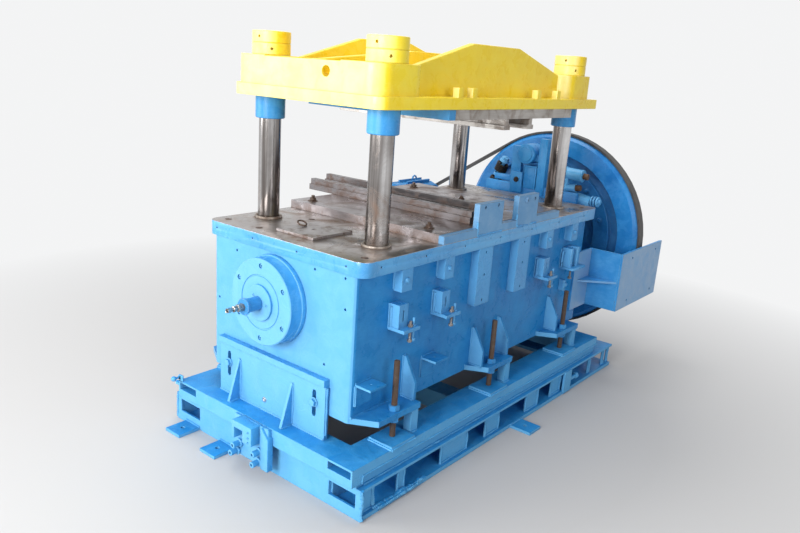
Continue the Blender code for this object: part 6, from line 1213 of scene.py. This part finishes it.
def rubber(name, colour, dust, gloss):
    """Moulded rubber: a fine grain, dust in patches and a low, uneven gloss."""
    made, tree, shader = blank(name)
    place = node(tree, "ShaderNodeTexCoord").outputs["Object"]
    patches = stretch(tree, noise(tree, place, 7.0, 5.0, 0.6), 0.45, 0.7)
    grain = noise(tree, place, 400.0, 3.0, 0.6)
    rough = stretch(tree, sums(tree, "ADD", patches, grain), 0.2, 1.6, gloss - 0.1, gloss + 0.15)
    bump = node(tree, "ShaderNodeBump", {"Distance": 0.0004, "Strength": 0.6, "Height": grain})
    feed(tree, shader, {"Base Color": between(tree, patches, (*colour, 1), (*dust, 1)), "Roughness": rough,
                        "Normal": bump.outputs[0]})
    return made


belt_rubber = rubber("belt rubber", (0.028, 0.027, 0.028), (0.09, 0.085, 0.08), 0.55)
dress(belt_rubber, "drive_belt")


# Motor and pulley. The real one is a finned electric motor on its bracket, with a fan cowl, a terminal
# box on its side and a lifting eye, and a crowned iron pulley on its shaft.

motor_blue = paint("motor enamel", (0.03, 0.22, 0.52), (0.015, 0.15, 0.4), (0.08, 0.33, 0.64), wear=0.2,
                   dirt_and_shade=0.45, gloss=0.34, depth=0.0008)
pulley_iron = steel("pulley iron", (0.30, 0.29, 0.28), (0.15, 0.14, 0.135), (0.13, 0.06, 0.03), amount=0.25,
                    gloss=0.35, scratch=(160.0, 8.0, 8.0))
dress(motor_blue, "motor")
dress(pulley_iron, "motor_pulley")


# Control knob. The real one is a small ball on a stem in a bent tab, at the far front corner of the upper
# frame.

tab = block((-1.1, -1.094), (0.505, 0.5335), (UPPER_TOP - 0.004, 0.262))
stem = turned("X", (0.5335, 0.247), [(0.0055, -1.122), (0.0055, -1.095)], 20)
ball = turned("X", (0.5335, 0.247), [(0.0125 * math.sin(math.pi * (0.1 + 0.8 * i / 12)),
                                      -1.128 - 0.0125 * math.cos(math.pi * (0.1 + 0.8 * i / 12)))
                                     for i in range(13)], 28)
piece("corner_knob", [tab, block((-1.1, -1.094), (0.52, 0.5405), (0.238, 0.256)), stem, ball], base_blue,
      "frame", bevel=0.0008)


# Floor, lamps and camera of the picture. The floor is plain and pale, the key lamp stands before the
# press's front, and the world is pale to the camera and in reflections.

PALE = (0.90, 0.905, 0.91)
bpy.ops.mesh.primitive_plane_add(size=60.0, location=(0, 0, -0.0005))
floor = bpy.context.object
floor.name = "studio_floor"
floor_finish, ground, floor_shader = blank("studio floor")
floor_shader.inputs["Base Color"].default_value = (0.5, 0.497, 0.495, 1)
floor_shader.inputs["Roughness"].default_value = 0.75
floor_shader.inputs["Specular IOR Level"].default_value = 0.1
spot = node(ground, "ShaderNodeTexCoord").outputs["Object"]
away = node(ground, "ShaderNodeVectorMath", {0: spot}, operation="LENGTH").outputs["Value"]
ground_path = node(ground, "ShaderNodeLightPath")
seen_through = sums(ground, "MAXIMUM", ground_path.outputs["Is Glossy Ray"],
                    ground_path.outputs["Is Transmission Ray"])
looked_at = sums(ground, "MAXIMUM", ground_path.outputs["Is Camera Ray"], seen_through)
far_off = sums(ground, "MULTIPLY", stretch(ground, away, 1.3, 3.8), looked_at)
far_floor = node(ground, "ShaderNodeEmission", {"Color": (*PALE, 1), "Strength": 1.0})
joined = node(ground, "ShaderNodeMixShader", {0: far_off, 1: floor_shader.outputs[0],
                                              2: far_floor.outputs[0]})
ground.links.new(joined.outputs[0], ground.nodes["Material Output"].inputs["Surface"])
floor.data.materials.append(floor_finish)

world = bpy.data.worlds.new("studio")
bpy.context.scene.world = world
world.use_nodes = True
sky = world.node_tree
light, seen = sky.nodes["Background"], sky.nodes.new("ShaderNodeBackground")
mixed = sky.nodes.new("ShaderNodeMixShader")
light.inputs["Color"].default_value, light.inputs["Strength"].default_value = (0.93, 0.95, 1.0, 1), 0.4
seen.inputs["Color"].default_value, seen.inputs["Strength"].default_value = (*PALE, 1), 1.0
path = sky.nodes.new("ShaderNodeLightPath")
plain = sums(sky, "MAXIMUM", path.outputs["Is Camera Ray"],
             sums(sky, "MAXIMUM", path.outputs["Is Glossy Ray"], path.outputs["Is Transmission Ray"]))
for first, second in ((plain, mixed.inputs[0]), (light.outputs[0], mixed.inputs[1]),
                      (seen.outputs[0], mixed.inputs[2]),
                      (mixed.outputs[0], sky.nodes["World Output"].inputs["Surface"])):
    sky.links.new(first, second)


def lamp(name, place, target, size, power, colour):
    """A square soft box turned to a target."""
    data = bpy.data.lights.new(name, "AREA")
    data.size, data.energy, data.color = size, power, colour
    made = linked(name, data)
    turn = (Vector(target) - Vector(place)).to_track_quat("-Z", "Y")
    made.matrix_world = Matrix.Translation(place) @ turn.to_matrix().to_4x4()


lamp("key", (-5.6, -0.7, 2.3), (0, 0, 0.8), 2.4, 300.0, (1.0, 0.99, 0.97))
lamp("window", (-4.4, 3.4, 2.2), (-0.9, 0, 0.7), 3.0, 130.0, (1.0, 0.99, 0.98))
lamp("top", (0.3, 1.2, 5.8), (0.2, 0.1, 1.0), 3.5, 210.0, (1.0, 0.99, 0.97))
lamp("side", (-2.6, -7.0, 3.0), (0.2, 0, 1.0), 3.0, 120.0, (0.97, 0.98, 1.0))

bpy.context.scene.view_settings.view_transform = "Standard"
yaw, pitch, roll = (math.radians(turn) for turn in (38.432, -15.446, 3.944))
ahead = Vector((math.cos(pitch) * math.cos(yaw), math.cos(pitch) * math.sin(yaw), math.sin(pitch)))
flat = ahead.cross(Vector((0, 0, 1))).normalized()
over = flat.cross(ahead)
right = math.cos(roll) * flat + math.sin(roll) * over
up = -math.sin(roll) * flat + math.cos(roll) * over
lens = bpy.data.cameras.new("camera")
lens.lens, lens.sensor_width, lens.clip_end = 32.957, 36.0, 200.0
camera = linked("camera", lens)
place = Vector((-2.946, -2.203, 1.727))
camera.matrix_world = Matrix([(right[i], up[i], -ahead[i], place[i]) for i in range(3)] + [(0, 0, 0, 1)])
bpy.context.scene.camera = camera
